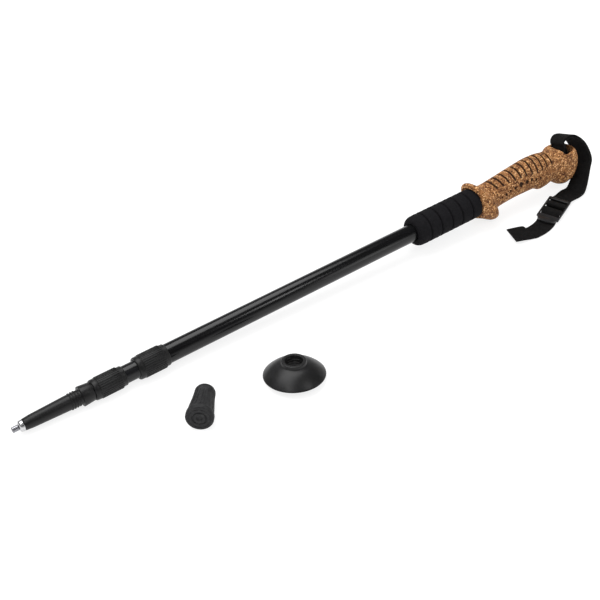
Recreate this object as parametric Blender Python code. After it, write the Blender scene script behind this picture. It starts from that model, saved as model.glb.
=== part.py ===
"""A telescopic walking pole, collapsed and lying on the ground, with its basket and rubber cap.

Sizes below are in millimetres and degrees; the helpers turn them into metres and radians.
The pole's own frame has X along its axis from the tip, Z towards the palm side and Y to the far side.
"""
import math

import bmesh
import bpy
from mathutils import Matrix, Vector

MM = 0.001
GAP = 0.3                     # clearance between neighbouring pieces

# The pole on the ground
TIP_POINT = (-340.0, 43.3, 7.03)
SLOPE = 2.09                  # the axis rises towards the handle
LEAN = 10.0                   # the palm side leans to the far side

# Tubes
UPPER_TUBE_RADIUS = 9.0
MIDDLE_TUBE_RADIUS = 8.0
LOWER_TUBE_RADIUS = 7.0
TUBE_WALL = 0.7
UPPER_TUBE_MOUTH = 118.9
UPPER_TUBE_END = 620.0
MIDDLE_TUBE_MOUTH = 76.5
MIDDLE_TUBE_END = 545.0
LOWER_TUBE_MOUTH = 65.5
LOWER_TUBE_END = 480.0
TUBE_SIDES = 24

# Joint collars
COLLAR_LIP = 3.2              # length of the inward lip in front of the tube's mouth
COLLAR_SIDES = 36             # two for each rib
RIB_DEPTH = 0.45
UPPER_COLLAR_START = 115.4
UPPER_COLLAR_RADIUS = 10.95
LOWER_COLLAR_START = 73.0
LOWER_COLLAR_RADIUS = 9.95
COLLAR_LENGTH = 30.2
COLLAR_FRONT = (              # place from the front end, how far inside the radius, depth of the ribs
    (0.0, 1.3, 0.0), (0.9, 0.6, 0.0), (4.2, 0.45, 0.0), (4.5, 0.85, 0.0), (5.0, 0.85, 0.0),
    (5.6, 0.0, RIB_DEPTH),
)
COLLAR_REAR = (               # the same, with the place from the rear end
    (4.6, 0.0, RIB_DEPTH), (4.2, 0.9, 0.0), (0.6, 0.95, 0.0), (0.0, 1.35, 0.0),
)

# Twist locks
PLUG_SPIGOT = 18.0
PLUG_FLANGE = 4.0
STUD_DEPTH = 13.0             # how far the stud is set into the plug
STUD_REACH = 44.0             # how far it stands out of the tube
STUD_CHAMFER = 0.4
STOP_NUT_LENGTH = 3.6
SLEEVE_PLACE = 7.0            # from the tube's end
MIDDLE_STUD_RADIUS = 3.0
LOWER_STUD_RADIUS = 2.5
SLEEVE_LENGTH = 28.0
SLIT_WIDTH = 1.4
SLIT_START = 9.0
SLIT_CUTTER_HALF = 10.0
SLIT_CUTTER_MARGIN = 2.0
THROAT = 6.0                  # where the sleeve's inner cone begins
SLEEVE_LIP = 1.0
WEDGE_START = 11.0
WEDGE_END = 29.0
WEDGE_CLEARANCE = 0.6

# Tip ferrule
FERRULE_START = 10.2
FERRULE_END = 72.5
THREAD_START = 51.1
THREAD_TURNS = 3.5
THREAD_PITCH = 2.4
THREAD_ROOT = 6.8
THREAD_HEIGHT = 0.65
THREAD_STEPS = 15
RIDGE_SHARE = 0.33           # half the ridge's width, in turns
RIDGE_STEEPNESS = 1.6
COLLAR_FACE = 61.9            # the face that a basket screws up against
FERRULE_COLLAR_RADII = (9.2, 8.3)   # at its front and at its rear
FERRULE_COLLAR_EDGE = 0.3
FERRULE_BORE = 3.5
FERRULE_NOSE = (              # place and radius, up to the thread
    (FERRULE_START, FERRULE_BORE), (FERRULE_START, 4.8), (FERRULE_START + 0.4, 5.1),
    (17.0, 5.75), (34.0, 6.3), (THREAD_START - 1.0, THREAD_ROOT),
)
SPIGOT_END = 95.0
SPIGOT_BORE = 3.0
SPIGOT_BORE_START = 31.0

# Tip
HOLDER_BORE = 2.0
HOLDER_PROFILE = (            # place and radius: the flange in front of the ferrule, then the shank in it
    (5.8, HOLDER_BORE), (5.8, 3.6), (7.2, 4.9), (9.6, 5.0), (9.9, 4.8), (9.9, 3.2),
    (29.6, 3.2), (30.0, 2.8), (30.0, HOLDER_BORE),
)
BIT_RADIUS = 2.5
BIT_PROFILE = (               # the hollow end, the rod, and its shank in the holder
    (0.9, 0.4), (0.6, 1.4), (0.0, 2.1), (0.25, BIT_RADIUS), (5.2, BIT_RADIUS), (5.5, BIT_RADIUS - 0.3),
    (5.5, HOLDER_BORE - GAP), (14.0, HOLDER_BORE - GAP),
)

# Foam sleeve
FOAM_START = 433.1
FOAM_END = 516.7
FOAM_RADIUS = 15.6
FOAM_GROOVES = (447.0, 461.2, 475.6, 489.6, 504.0)
FOAM_GROOVE_DEPTH = 1.7
FOAM_GROOVE_HALF = 1.8

# Cork grip
GRIP_SIDES = 26
GRIP_START = 517.0
GRIP_START_RADIUS = 16.2
GRIP_BORE_RADIUS = 9.3
GRIP_BORE_END = 626.0
GROOVE_FIRST = 546.0
GROOVE_PITCH = 8.25
GROOVE_COUNT = 11
GROOVE_DEPTH = 1.1
GROOVE_HALF = 0.95
GROOVE_REACH = 44.0           # half the angle that a groove spans on the palm side

# Sections of the grip: place, half width, palm height, finger depth, tilt, dip of the palm, squareness.
GRIP_SECTIONS = (
    (522.3, 19.4, 19.4, 25.0, 0.43, 0.0, 2.1),
    (524.2, 20.6, 21.0, 26.5, 0.46, 0.0, 2.1),
    (526.6, 21.0, 21.5, 27.0, 0.49, 0.0, 2.1),
    (529.0, 20.6, 21.0, 26.5, 0.52, 0.0, 2.1),
    (530.8, 19.4, 19.6, 25.0, 0.54, 0.0, 2.1),
    (534.0, 15.6, 15.4, 19.0, 0.56, 0.0, 2.0),
    (539.0, 13.8, 13.7, 16.6, 0.53, 0.0, 2.0),
    (556.0, 13.6, 15.6, 15.3, 0.30, 0.0, 2.0),
    (572.5, 14.0, 17.8, 14.6, 0.12, 0.0, 2.0),
    (586.0, 14.3, 19.4, 14.8, 0.04, 0.0, 2.0),
    (600.0, 14.5, 20.5, 15.4, 0.00, 0.0, 2.0),
    (606.0, 14.5, 20.3, 17.8, 0.00, 0.0, 2.0),
    (612.0, 14.5, 20.0, 20.4, 0.00, 0.0, 2.0),
    (620.0, 14.5, 18.6, 19.6, 0.00, 0.0, 2.0),
    (626.5, 14.4, 17.2, 17.4, 0.00, 0.0, 2.1),
    (631.5, 14.4, 16.8, 17.0, 0.00, 0.0, 2.2),
    (636.0, 15.4, 17.2, 20.6, 0.00, 0.8, 2.4),
    (641.0, 17.0, 18.2, 24.6, 0.00, 2.8, 2.7),
    (647.5, 17.4, 18.6, 26.2, 0.00, 4.0, 2.7),
    (654.5, 17.0, 18.0, 25.2, 0.00, 3.4, 2.6),
    (660.0, 15.7, 16.6, 22.0, 0.00, 2.2, 2.4),
    (663.8, 13.2, 13.8, 17.6, 0.00, 0.8, 2.2),
    (666.2, 9.4, 9.8, 12.0, 0.00, 0.0, 2.0),
    (667.2, 4.6, 4.8, 5.6, 0.00, 0.0, 2.0),
)
DIP_HALF_WIDTH = 13.0
GROUND_CUTTER = ((500.0, -40.0, -60.0), (580.0, 40.0, 0.0))   # takes off what would reach into the ground

# Strap slot in the head
SLOT_START = 645.0
SLOT_END = 661.6
SLOT_HALF_WIDTH = 11.6
SLOT_FLOOR = -3.4
SLOT_CUTTER_TOP = 24.0
SLOT_CORNER = 2.2
SADDLE_PLACE = 650.0          # a round scoop across the head, in front of and behind the slot
SADDLE_FLOOR = 12.2
SADDLE_RADIUS = 10.0
SADDLE_TILT = 10.0            # it rises to the far side
SADDLE_CUTTER_REACH = 24.0
PIN_PLACE = (650.6, 5.0)      # along the axis, and towards the palm
PIN_RADIUS = 2.0
PIN_HALF_LENGTH = 14.6
PIN_CHAMFER = 0.3

# Side plug of the grip
PLUG_PLACE = 615.0
PLUG_ANGLE = 19.0             # above the side of the grip
PLUG_RADIUS = 3.0
PLUG_SEAT = 13.0              # distance of the recess's floor from the axis
RECESS_CUTTER_DEPTH = 6.0
PLUG_PROFILE = (              # height over the recess's floor, radius
    (GAP, PLUG_RADIUS), (1.9, PLUG_RADIUS), (2.5, PLUG_RADIUS - 0.5), (2.8, PLUG_RADIUS - 1.6),
)

# Plug in the upper end of the upper tube
END_PLUG_DEPTH = 12.0
END_PLUG_HEAD = 3.0
END_PLUG_CHAMFER = 0.6

# Wrist strap, in millimetres from the point on the ground under the tip
STRAP_WIDTH = 20.0
WEBBING = 1.3
LAYER_OFFSET = 0.95
PIN_SLACK = 0.5               # between the pin and the webbing round it
TURN_TOP = (0.3, 3.8)         # where the turn round the pin begins: drawn in by, and height over the pin
TURN_SIDE = 0.4               # off the middle of the pin
STRAP_ROUTE = (               # centre and direction of the width
    ((648.6, 3.9, 46.0), (0.04, 0.98, -0.18)),
    ((648.1, 6.0, 49.6), (0.11, 0.97, -0.21)),
    ((649.8, 7.0, 52.8), (0.14, 0.96, -0.25)),
    ((654.0, 6.8, 54.8), (0.14, 0.95, -0.29)),
    ((662.4, 4.9, 54.0), (0.10, 0.92, -0.38)),
    ((669.0, 1.4, 48.6), (-0.02, 0.89, -0.46)),
    ((674.0, -2.3, 41.6), (-0.12, 0.84, -0.52)),
    ((677.0, -6.8, 34.0), (-0.10, 0.85, -0.52)),
    ((677.2, -11.6, 26.2), (-0.07, 0.87, -0.49)),
    ((672.0, -15.2, 19.4), (-0.09, 0.90, -0.44)),
    ((665.0, -19.4, 12.4), (-0.28, 0.89, -0.36)),
    ((658.2, -23.2, 6.4), (-0.52, 0.82, -0.22)),
    ((653.0, -25.6, 3.4), (-0.66, 0.75, -0.05)),
    ((646.5, -27.0, 2.7), (-0.40, 0.92, 0.0)),
    ((637.0, -27.8, 3.2), (-0.18, 0.98, 0.0)),
)
TAIL_ROUTE = (
    ((577.4, -49.2, 1.3), (-0.30, 0.95, 0.0)),
    ((567.0, -51.6, 1.0), (-0.12, 0.99, 0.0)),
    ((555.0, -52.2, 1.1), (0.14, 0.99, 0.0)),
    ((548.4, -51.1, 3.2), (0.17, 0.97, 0.20)),
    ((538.0, -49.3, 4.8), (0.16, 0.97, 0.18)),
    ((529.0, -47.3, 5.5), (0.15, 0.97, 0.15)),
)
ROUTE_STEPS = 2

# Strap buckle
BUCKLE_PLACE = (601.6, -39.3, 5.5)
BUCKLE_HEADING = 200.8
BUCKLE_PITCH = 6.0
BUCKLE_HALF_WIDTH = 12.0
BUCKLE_RAIL = 1.6
BUCKLE_THICKNESS = 2.8
REAR_BAR = (18.2, 14.8)       # far and near edge of each bar, along the buckle
FIRST_BAR = (8.0, 5.0)
LADDER_BAR = (-3.4, -6.8)
FRONT_BAR = (-13.4, -18.2)
LIP_LENGTH = 8.6
LIP_RISE = 1.6
FIXED_END = (                 # the webbing's end round the first bar: along the buckle, and up
    (9.8, -2.4), (6.5, -2.4), (4.6, -2.2), (3.9, -1.0), (3.9, 1.0), (4.6, 2.2), (6.5, 2.4),
    (8.4, 2.25), (10.2, 1.1), (12.0, -0.8), (13.6, -2.2), (15.5, -2.45), (18.5, -2.5), (22.0, -2.5),
)
LADDER_WEAVE = (              # the other end over the ladder bar and out under the lip
    (22.0, -4.2), (16.0, -4.2), (9.0, -4.15), (4.0, -3.95), (1.0, -2.6), (-1.2, 0.2), (-2.6, 2.1),
    (-5.0, 2.45), (-7.4, 2.15), (-9.4, 0.4), (-11.2, -1.6), (-13.0, -2.45), (-16.0, -2.6),
    (-19.5, -2.7),
)

# Basket, lying with its far rim and the foot of its hub on the ground
BASKET_PLACE = (225.4, -80.6, 3.35)
BASKET_HEADING = 74.2
BASKET_TILT = 6.9
BASKET_SIDES = 36
HUB_BORE = 7.9
HUB_TOP = 14.8
HUB_FOOT = -2.05
HUB_THREAD = 0.5
HUB_THREAD_STEPS = 12
HUB_CHAMFER = 0.7
BASKET_PROFILE = (            # height above the rim's plane, radius
    (HUB_TOP, 8.2), (HUB_TOP, 10.5), (HUB_TOP - 0.5, 11.0), (12.0, 11.0), (9.4, 16.8), (5.5, 22.6),
    (2.2, 26.4), (0.8, 27.7), (0.0, 27.4), (0.0, 25.8), (0.9, 24.7), (3.6, 21.6), (7.3, 16.2),
    (9.5, 10.8), (HUB_FOOT, 10.6), (HUB_FOOT, 8.2),
)

# Rubber cap
CAP_PLACE = (125.6, -84.8, 12.35)
CAP_HEADING = 49.4
CAP_PITCH = 4.8
CAP_SIDES = 32
CAP_FLUTES = 16
CAP_FLUTE_DEPTH = 0.5
CAP_SOLE_RADIUS = 12.0
CAP_LENGTH = 37.0
CAP_SOCKET_DEPTH = 26.0
CAP_FLOOR = CAP_LENGTH - CAP_SOCKET_DEPTH
CAP_PROFILE = (               # place from the sole, radius, share of the flutes
    (1.0, 1.6, 0.0), (1.0, 2.4, 0.0), (0.0, 2.8, 0.0), (0.0, 5.0, 0.0), (0.8, 5.3, 0.0),
    (0.8, 6.2, 0.0), (0.0, 6.5, 0.0), (0.0, CAP_SOLE_RADIUS - 1.0, 0.0), (0.9, CAP_SOLE_RADIUS, 0.0),
    (4.6, CAP_SOLE_RADIUS, 0.0), (5.6, CAP_SOLE_RADIUS - 0.5, 0.0), (7.0, 11.2, 1.0),
    (15.0, 10.3, 1.0), (21.0, 9.5, 1.0), (29.0, 9.1, 1.0), (30.4, 9.1, 0.0), (34.0, 9.0, 0.0),
    (36.0, 8.3, 0.0), (CAP_LENGTH, 7.2, 0.0), (CAP_LENGTH, 6.4, 0.0), (CAP_FLOOR + 3.0, 5.5, 0.0),
    (CAP_FLOOR, 5.4, 0.0),
)
WASHER_RADIUS = 5.0
WASHER_BORE = 1.6
WASHER_THICKNESS = 1.5


def clear_scene():
    for obj in list(bpy.data.objects):
        bpy.data.objects.remove(obj, do_unlink=True)


def material(name, colour, roughness, metallic=0.0):
    made = bpy.data.materials.new(name)
    made.use_nodes = True
    shader = made.node_tree.nodes["Principled BSDF"]
    shader.inputs["Base Color"].default_value = (*colour, 1.0)
    shader.inputs["Roughness"].default_value = roughness
    shader.inputs["Metallic"].default_value = metallic
    return made


def cork():
    return material("crushed_cork", (0.27, 0.15, 0.08), 0.75)


def foam():
    return material("black_foam", (0.035, 0.035, 0.037), 0.85)


def anodised():
    return material("black_anodised_aluminium", (0.02, 0.02, 0.024), 0.22, 0.6)


def moulded():
    return material("black_moulded_plastic", (0.03, 0.03, 0.033), 0.45)


def nylon():
    return material("grey_nylon", (0.35, 0.35, 0.34), 0.5)


def steel():
    return material("bright_steel", (0.62, 0.62, 0.64), 0.25, 1.0)


def carbide():
    return material("hard_metal", (0.42, 0.42, 0.45), 0.35, 1.0)


def webbing():
    return material("black_webbing", (0.018, 0.018, 0.02), 0.9)


def rubber():
    return material("black_rubber", (0.03, 0.032, 0.032), 0.7)


def frame(name, location=(0.0, 0.0, 0.0), rotation=(0.0, 0.0, 0.0), parent=None):
    """An empty that carries pieces."""
    empty = bpy.data.objects.new(name, None)
    empty.location = Vector(location) * MM
    empty.rotation_euler = [math.radians(angle) for angle in rotation]
    empty.parent = parent
    bpy.context.collection.objects.link(empty)
    return empty


def piece(name, shape, finish, parent=None, location=(0.0, 0.0, 0.0), rotation=(0.0, 0.0, 0.0)):
    """A named object from a shape in millimetres."""
    bmesh.ops.scale(shape, vec=(MM, MM, MM), verts=shape.verts)
    bmesh.ops.recalc_face_normals(shape, faces=shape.faces)
    mesh = bpy.data.meshes.new(name)
    shape.to_mesh(mesh)
    shape.free()
    mesh.shade_smooth()
    mesh.set_sharp_from_angle(angle=math.radians(35.0))
    if finish:
        mesh.materials.append(finish)
    made = bpy.data.objects.new(name, mesh)
    made.location = Vector(location) * MM
    made.rotation_euler = [math.radians(angle) for angle in rotation]
    made.parent = parent
    bpy.context.collection.objects.link(made)
    return made


def cut(target, cutter):
    """Subtract a cutter, which stays as a hidden guide."""
    cutter.hide_render = True
    cutter.display_type = "WIRE"
    modifier = target.modifiers.new(cutter.name, "BOOLEAN")
    modifier.operation = "DIFFERENCE"
    modifier.object = cutter


def body_of_rings(rings, closed=False):
    """One solid through rings of equally many points: capped at both ends, or closed on itself."""
    shape = bmesh.new()
    loops = [[shape.verts.new(point) for point in ring] for ring in rings]
    pairs = list(zip(loops, loops[1:]))
    if closed:
        pairs.append((loops[-1], loops[0]))
    else:
        shape.faces.new(loops[0])
        shape.faces.new(loops[-1])
    count = len(loops[0])
    for first, second in pairs:
        for i in range(count):
            j = (i + 1) % count
            shape.faces.new((first[i], first[j], second[j], second[i]))
    return shape


def circle(x, radius, sides):
    """A ring of points round the X axis."""
    turns = [math.tau * i / sides for i in range(sides)]
    return [(x, radius * math.cos(turn), radius * math.sin(turn)) for turn in turns]


def turned(profile, sides=TUBE_SIDES, closed=False):
    """A body of revolution about X through points of place and radius."""
    return body_of_rings([circle(x, radius, sides) for x, radius in profile], closed)


def ribbed(profile, sides, closed=True):
    """Like turned, with every other point of a ring set in by the third number of its profile point."""
    rings = []
    for x, radius, depth in profile:
        ring = []
        for i in range(sides):
            turn = math.tau * i / sides
            reach = radius - depth * (i % 2)
            ring.append((x, reach * math.cos(turn), reach * math.sin(turn)))
        rings.append(ring)
    return body_of_rings(rings, closed)


def tube_profile(length, outer, inner):
    return [(0.0, inner), (0.0, outer), (length, outer), (length, inner)]


def box(low, high):
    shape = bmesh.new()
    bmesh.ops.create_cube(shape, size=1.0)
    size = [b - a for a, b in zip(low, high)]
    middle = [(a + b) / 2 for a, b in zip(low, high)]
    bmesh.ops.scale(shape, vec=size, verts=shape.verts)
    bmesh.ops.translate(shape, vec=middle, verts=shape.verts)
    return shape


def spline(points, steps):
    """Points on a smooth curve through the given vectors."""
    padded = [points[0] * 2 - points[1], *points, points[-1] * 2 - points[-2]]
    made = []
    for i in range(1, len(padded) - 2):
        before, start, end, after = padded[i - 1:i + 3]
        for k in range(steps):
            t = k / steps
            made.append(0.5 * (
                2 * start + (end - before) * t
                + (2 * before - 5 * start + 4 * end - after) * t ** 2
                + (3 * start - before - 3 * end + after) * t ** 3
            ))
    made.append(points[-1])
    return made


# Tubes and joint collars
def make_tube(name, parent, mouth, end, radius):
    profile = tube_profile(end - mouth, radius, radius - TUBE_WALL)
    return piece(name, turned(profile, closed=True), anodised(), parent, (mouth, 0, 0))


def make_joint_collar(name, parent, start, radius, tube_radius, inner_tube_radius):
    """A ribbed sleeve round the mouth of a tube, with a lip in front of it."""
    bore = tube_radius + GAP
    lip_bore = inner_tube_radius + GAP
    profile = [(0.0, lip_bore, 0.0)]
    profile += [(place, radius - inset, depth) for place, inset, depth in COLLAR_FRONT]
    profile += [(COLLAR_LENGTH - place, radius - inset, depth) for place, inset, depth in COLLAR_REAR]
    profile += [
        (COLLAR_LENGTH, bore, 0.0), (COLLAR_LIP - GAP, bore, 0.0), (COLLAR_LIP - GAP, lip_bore, 0.0),
    ]
    return piece(name, ribbed(profile, COLLAR_SIDES), moulded(), parent, (start, 0, 0))


# Twist locks
def make_lock_plug(name, section, tube_end, tube_radius, stud_bore):
    """The flanged plug in a tube's inner end, bored for the stud."""
    spigot = tube_radius - TUBE_WALL - GAP
    flange = tube_radius - 0.1
    end = PLUG_SPIGOT + PLUG_FLANGE
    profile = (
        (0.0, spigot - 0.5), (0.5, spigot), (PLUG_SPIGOT + GAP, spigot), (PLUG_SPIGOT + GAP, flange),
        (end, flange), (end, stud_bore), (PLUG_SPIGOT - STUD_DEPTH - GAP, stud_bore),
    )
    return piece(name, turned(profile), nylon(), section, (tube_end - PLUG_SPIGOT, 0, 0))


def make_stud(name, section, tube_end, radius):
    length = STUD_DEPTH + STUD_REACH
    profile = (
        (0.0, radius - STUD_CHAMFER), (STUD_CHAMFER, radius),
        (length - STUD_CHAMFER, radius), (length, radius - STUD_CHAMFER),
    )
    return piece(name, turned(profile, 16), steel(), section, (tube_end - STUD_DEPTH, 0, 0))


def make_stop_nut(name, section, tube_end, stud_bore, sleeve_radius):
    """The hexagonal nut that keeps the sleeve on the stud."""
    bore = stud_bore / math.cos(math.pi / 6)
    outer = sleeve_radius - 2.3
    profile = ((0.0, bore), (0.0, outer), (STOP_NUT_LENGTH, outer), (STOP_NUT_LENGTH, bore))
    place = (tube_end + STUD_REACH - STOP_NUT_LENGTH - 0.4, 0, 0)
    return piece(name, turned(profile, 6, closed=True), steel(), section, place)


def make_expander_sleeve(name, expander, start, radius, stud_bore, throat, mouth):
    """The sleeve with an inner cone, slit crosswise so that it can spread in the outer tube."""
    profile = (
        (0.0, stud_bore), (0.0, radius - 0.5), (0.5, radius), (SLEEVE_LENGTH, radius),
        (SLEEVE_LENGTH, mouth), (THROAT, throat), (THROAT - 2.0, stud_bore),
    )
    sleeve = piece(name, turned(profile, closed=True), nylon(), expander, (start, 0, 0))
    for k in range(2):
        slit = box(
            (SLIT_START, -SLIT_CUTTER_HALF, -SLIT_WIDTH / 2),
            (SLEEVE_LENGTH + SLIT_CUTTER_MARGIN, SLIT_CUTTER_HALF, SLIT_WIDTH / 2),
        )
        turn = (90.0 * k + 22.5, 0, 0)
        cut(sleeve, piece(f"{name}_slit_cutter_{k}", slit, None, expander, (start, 0, 0), turn))
    return sleeve


def make_twist_lock(name, section, expander, cone, tube_end, tube_radius, stud_radius):
    """The plug in a tube's inner end, and the stud, sleeve, wedge nut and stop nut behind it."""
    stud_bore = stud_radius + GAP
    sleeve_radius = tube_radius
    make_lock_plug(name + "_plug", section, tube_end, tube_radius, stud_bore)
    make_stud(name + "_stud", section, tube_end, stud_radius)
    make_stop_nut(name + "_stop_nut", section, tube_end, stud_bore, sleeve_radius)

    start = tube_end + SLEEVE_PLACE
    mouth = sleeve_radius - SLEEVE_LIP
    throat = stud_bore + 1.4
    make_expander_sleeve(name + "_expander_sleeve", expander, start, sleeve_radius, stud_bore, throat, mouth)

    slope = (mouth - throat) / (SLEEVE_LENGTH - THROAT)
    small = throat + slope * (WEDGE_START - THROAT) - WEDGE_CLEARANCE
    large = throat + slope * (WEDGE_END - THROAT) - WEDGE_CLEARANCE
    length = WEDGE_END - WEDGE_START
    wedge = ((0.0, stud_bore), (0.0, small), (length, large), (length, stud_bore))
    place = (start + WEDGE_START, 0, 0)
    piece(name + "_expander_cone", turned(wedge, closed=True), nylon(), cone, place)


# Tip
def thread_radius(x, turn):
    """Radius of the ferrule over its thread, a rounded ridge that fades at both ends."""
    along = (x - THREAD_START) / THREAD_PITCH
    phase = (along - turn / math.tau) % 1.0
    ridge = max(0.0, 1.0 - abs(phase - 0.5) / RIDGE_SHARE)
    fade = min(1.0, max(0.0, along * 3.0), max(0.0, (THREAD_TURNS - along) * 3.0))
    return THREAD_ROOT + THREAD_HEIGHT * min(1.0, ridge * RIDGE_STEEPNESS) * fade


def make_ferrule(section):
    """The moulded end: a nose, the thread for a basket, a flared collar, and a spigot in the tube."""
    front, back = FERRULE_COLLAR_RADII
    edge = FERRULE_COLLAR_EDGE
    spigot = LOWER_TUBE_RADIUS - TUBE_WALL - GAP
    rear = (
        (COLLAR_FACE, THREAD_ROOT), (COLLAR_FACE, front - edge), (COLLAR_FACE + edge, front),
        (FERRULE_END - edge, back), (FERRULE_END, back - edge),
        (FERRULE_END, LOWER_TUBE_RADIUS + GAP), (LOWER_TUBE_MOUTH - GAP, LOWER_TUBE_RADIUS + GAP),
        (LOWER_TUBE_MOUTH - GAP, spigot), (SPIGOT_END - 0.6, spigot), (SPIGOT_END, spigot - 0.6),
        (SPIGOT_END, SPIGOT_BORE), (SPIGOT_BORE_START, SPIGOT_BORE), (SPIGOT_BORE_START, FERRULE_BORE),
    )
    length = THREAD_TURNS * THREAD_PITCH
    turns = [math.tau * i / TUBE_SIDES for i in range(TUBE_SIDES)]
    rings = [circle(x, radius, TUBE_SIDES) for x, radius in FERRULE_NOSE]
    for k in range(THREAD_STEPS + 1):
        x = THREAD_START + length * k / THREAD_STEPS
        radii = [thread_radius(x, turn) for turn in turns]
        rings.append([(x, r * math.cos(turn), r * math.sin(turn)) for r, turn in zip(radii, turns)])
    rings += [circle(x, radius, TUBE_SIDES) for x, radius in rear]
    return piece("tip_ferrule", body_of_rings(rings, closed=True), moulded(), section)


def make_tip(section):
    piece("tip_holder", turned(HOLDER_PROFILE, 20, closed=True), steel(), section)
    piece("tip_bit", turned(BIT_PROFILE, 14), carbide(), section)


# Foam sleeve
def make_foam(handle):
    inner = UPPER_TUBE_RADIUS + GAP
    profile = [
        (FOAM_START, inner), (FOAM_START, 11.4), (FOAM_START + 0.8, 13.4),
        (FOAM_START + 3.0, 15.0), (FOAM_START + 6.5, FOAM_RADIUS),
    ]
    for place in FOAM_GROOVES:
        profile += [
            (place - FOAM_GROOVE_HALF, FOAM_RADIUS),
            (place - FOAM_GROOVE_HALF * 0.3, FOAM_RADIUS - FOAM_GROOVE_DEPTH),
            (place + FOAM_GROOVE_HALF * 0.3, FOAM_RADIUS - FOAM_GROOVE_DEPTH),
            (place + FOAM_GROOVE_HALF, FOAM_RADIUS),
        ]
    profile += [(FOAM_END - 1.0, FOAM_RADIUS), (FOAM_END, FOAM_RADIUS - 0.8), (FOAM_END, inner)]
    return piece("foam_sleeve", turned(profile, closed=True), foam(), handle)


# Cork grip
def grip_section(place):
    """The section values at a place along the grip, eased between the neighbouring rows."""
    rows = GRIP_SECTIONS
    if place <= rows[0][0]:
        return rows[0][1:]
    for first, second in zip(rows, rows[1:]):
        if place <= second[0]:
            share = (place - first[0]) / (second[0] - first[0])
            return [a + (b - a) * share for a, b in zip(first[1:], second[1:])]
    return rows[-1][1:]


def groove_depth(place, turn):
    """How deep the palm grooves cut at a place and an angle."""
    nearest = round((place - GROOVE_FIRST) / GROOVE_PITCH)
    nearest = min(max(nearest, 0), GROOVE_COUNT - 1)
    off = abs(place - GROOVE_FIRST - nearest * GROOVE_PITCH)
    across = max(0.0, 1.0 - off / GROOVE_HALF)
    from_palm = abs(math.degrees(turn) - 90.0)
    round_end = min(1.0, max(0.0, (GROOVE_REACH - from_palm) / 8.0))
    return GROOVE_DEPTH * across * round_end


def grip_ring(place):
    width, palm, finger, tilt, dip, squareness = grip_section(place)
    ring = []
    for i in range(GRIP_SIDES):
        turn = math.tau * i / GRIP_SIDES
        side, rise = math.cos(turn), math.sin(turn)
        power = 2.0 / squareness
        y = width * math.copysign(abs(side) ** power, side)
        z = (palm if rise > 0 else finger) * math.copysign(abs(rise) ** power, rise)
        if rise > 0 and abs(y) < DIP_HALF_WIDTH:
            z -= dip * (1.0 - (y / DIP_HALF_WIDTH) ** 2) ** 2
        shrink = 1.0 - groove_depth(place, turn) / math.hypot(y, z)
        ring.append((place - tilt * z, y * shrink, z * shrink))
    return ring


def grip_places():
    """Where the grip has a ring: at its sections and at the edges and floor of each groove."""
    grooves = [GROOVE_FIRST + GROOVE_PITCH * k for k in range(GROOVE_COUNT)]
    places = [centre + off for centre in grooves for off in (-GROOVE_HALF, 0.0, GROOVE_HALF)]
    for row in GRIP_SECTIONS:
        if all(abs(row[0] - centre) > GROOVE_HALF + 0.6 for centre in grooves):
            places.append(row[0])
    return sorted(places)


def make_grip(handle):
    rings = [
        circle(GRIP_BORE_END, GRIP_BORE_RADIUS, GRIP_SIDES),
        circle(GRIP_START, GRIP_BORE_RADIUS, GRIP_SIDES),
        circle(GRIP_START, GRIP_START_RADIUS, GRIP_SIDES),
    ]
    rings += [grip_ring(place) for place in grip_places()]
    grip = piece("cork_grip", body_of_rings(rings), cork(), handle)

    slot = box(
        (SLOT_START, -SLOT_HALF_WIDTH, SLOT_FLOOR), (SLOT_END, SLOT_HALF_WIDTH, SLOT_CUTTER_TOP),
    )
    upright = [edge for edge in slot.edges if abs(edge.verts[0].co.z - edge.verts[1].co.z) > 1.0]
    bmesh.ops.bevel(slot, geom=upright, offset=SLOT_CORNER, segments=2, affect="EDGES", profile=0.5)
    cut(grip, piece("slot_cutter", slot, None, handle))

    scoop = turned([(-SADDLE_CUTTER_REACH, SADDLE_RADIUS), (SADDLE_CUTTER_REACH, SADDLE_RADIUS)], 40)
    scoop_place = (SADDLE_PLACE, 0.0, SADDLE_FLOOR + SADDLE_RADIUS)
    cut(grip, piece("saddle_cutter", scoop, None, handle, scoop_place, (0, -SADDLE_TILT, 90.0)))

    reach, bore = PIN_HALF_LENGTH + GAP, PIN_RADIUS + GAP
    hole = turned([(-reach, bore), (reach, bore)], 16)
    pin_place = (PIN_PLACE[0], 0.0, PIN_PLACE[1])
    cut(grip, piece("pin_hole_cutter", hole, None, handle, pin_place, (0, 0, 90.0)))

    bore = PLUG_RADIUS + GAP
    recess = turned([(PLUG_SEAT, bore), (PLUG_SEAT + RECESS_CUTTER_DEPTH, bore)], 20)
    cut(grip, piece("plug_recess_cutter", recess, None, handle, (PLUG_PLACE, 0, 0), plug_turn()))

    ground = box(*GROUND_CUTTER)
    cut(grip, piece("ground_cutter", ground, None, None, TIP_POINT[:2] + (0.0,)))
    return grip


def plug_turn():
    """Turns X to the direction of the side plug: towards the near side, and up by its angle."""
    return (0.0, -PLUG_ANGLE, -90.0)


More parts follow.
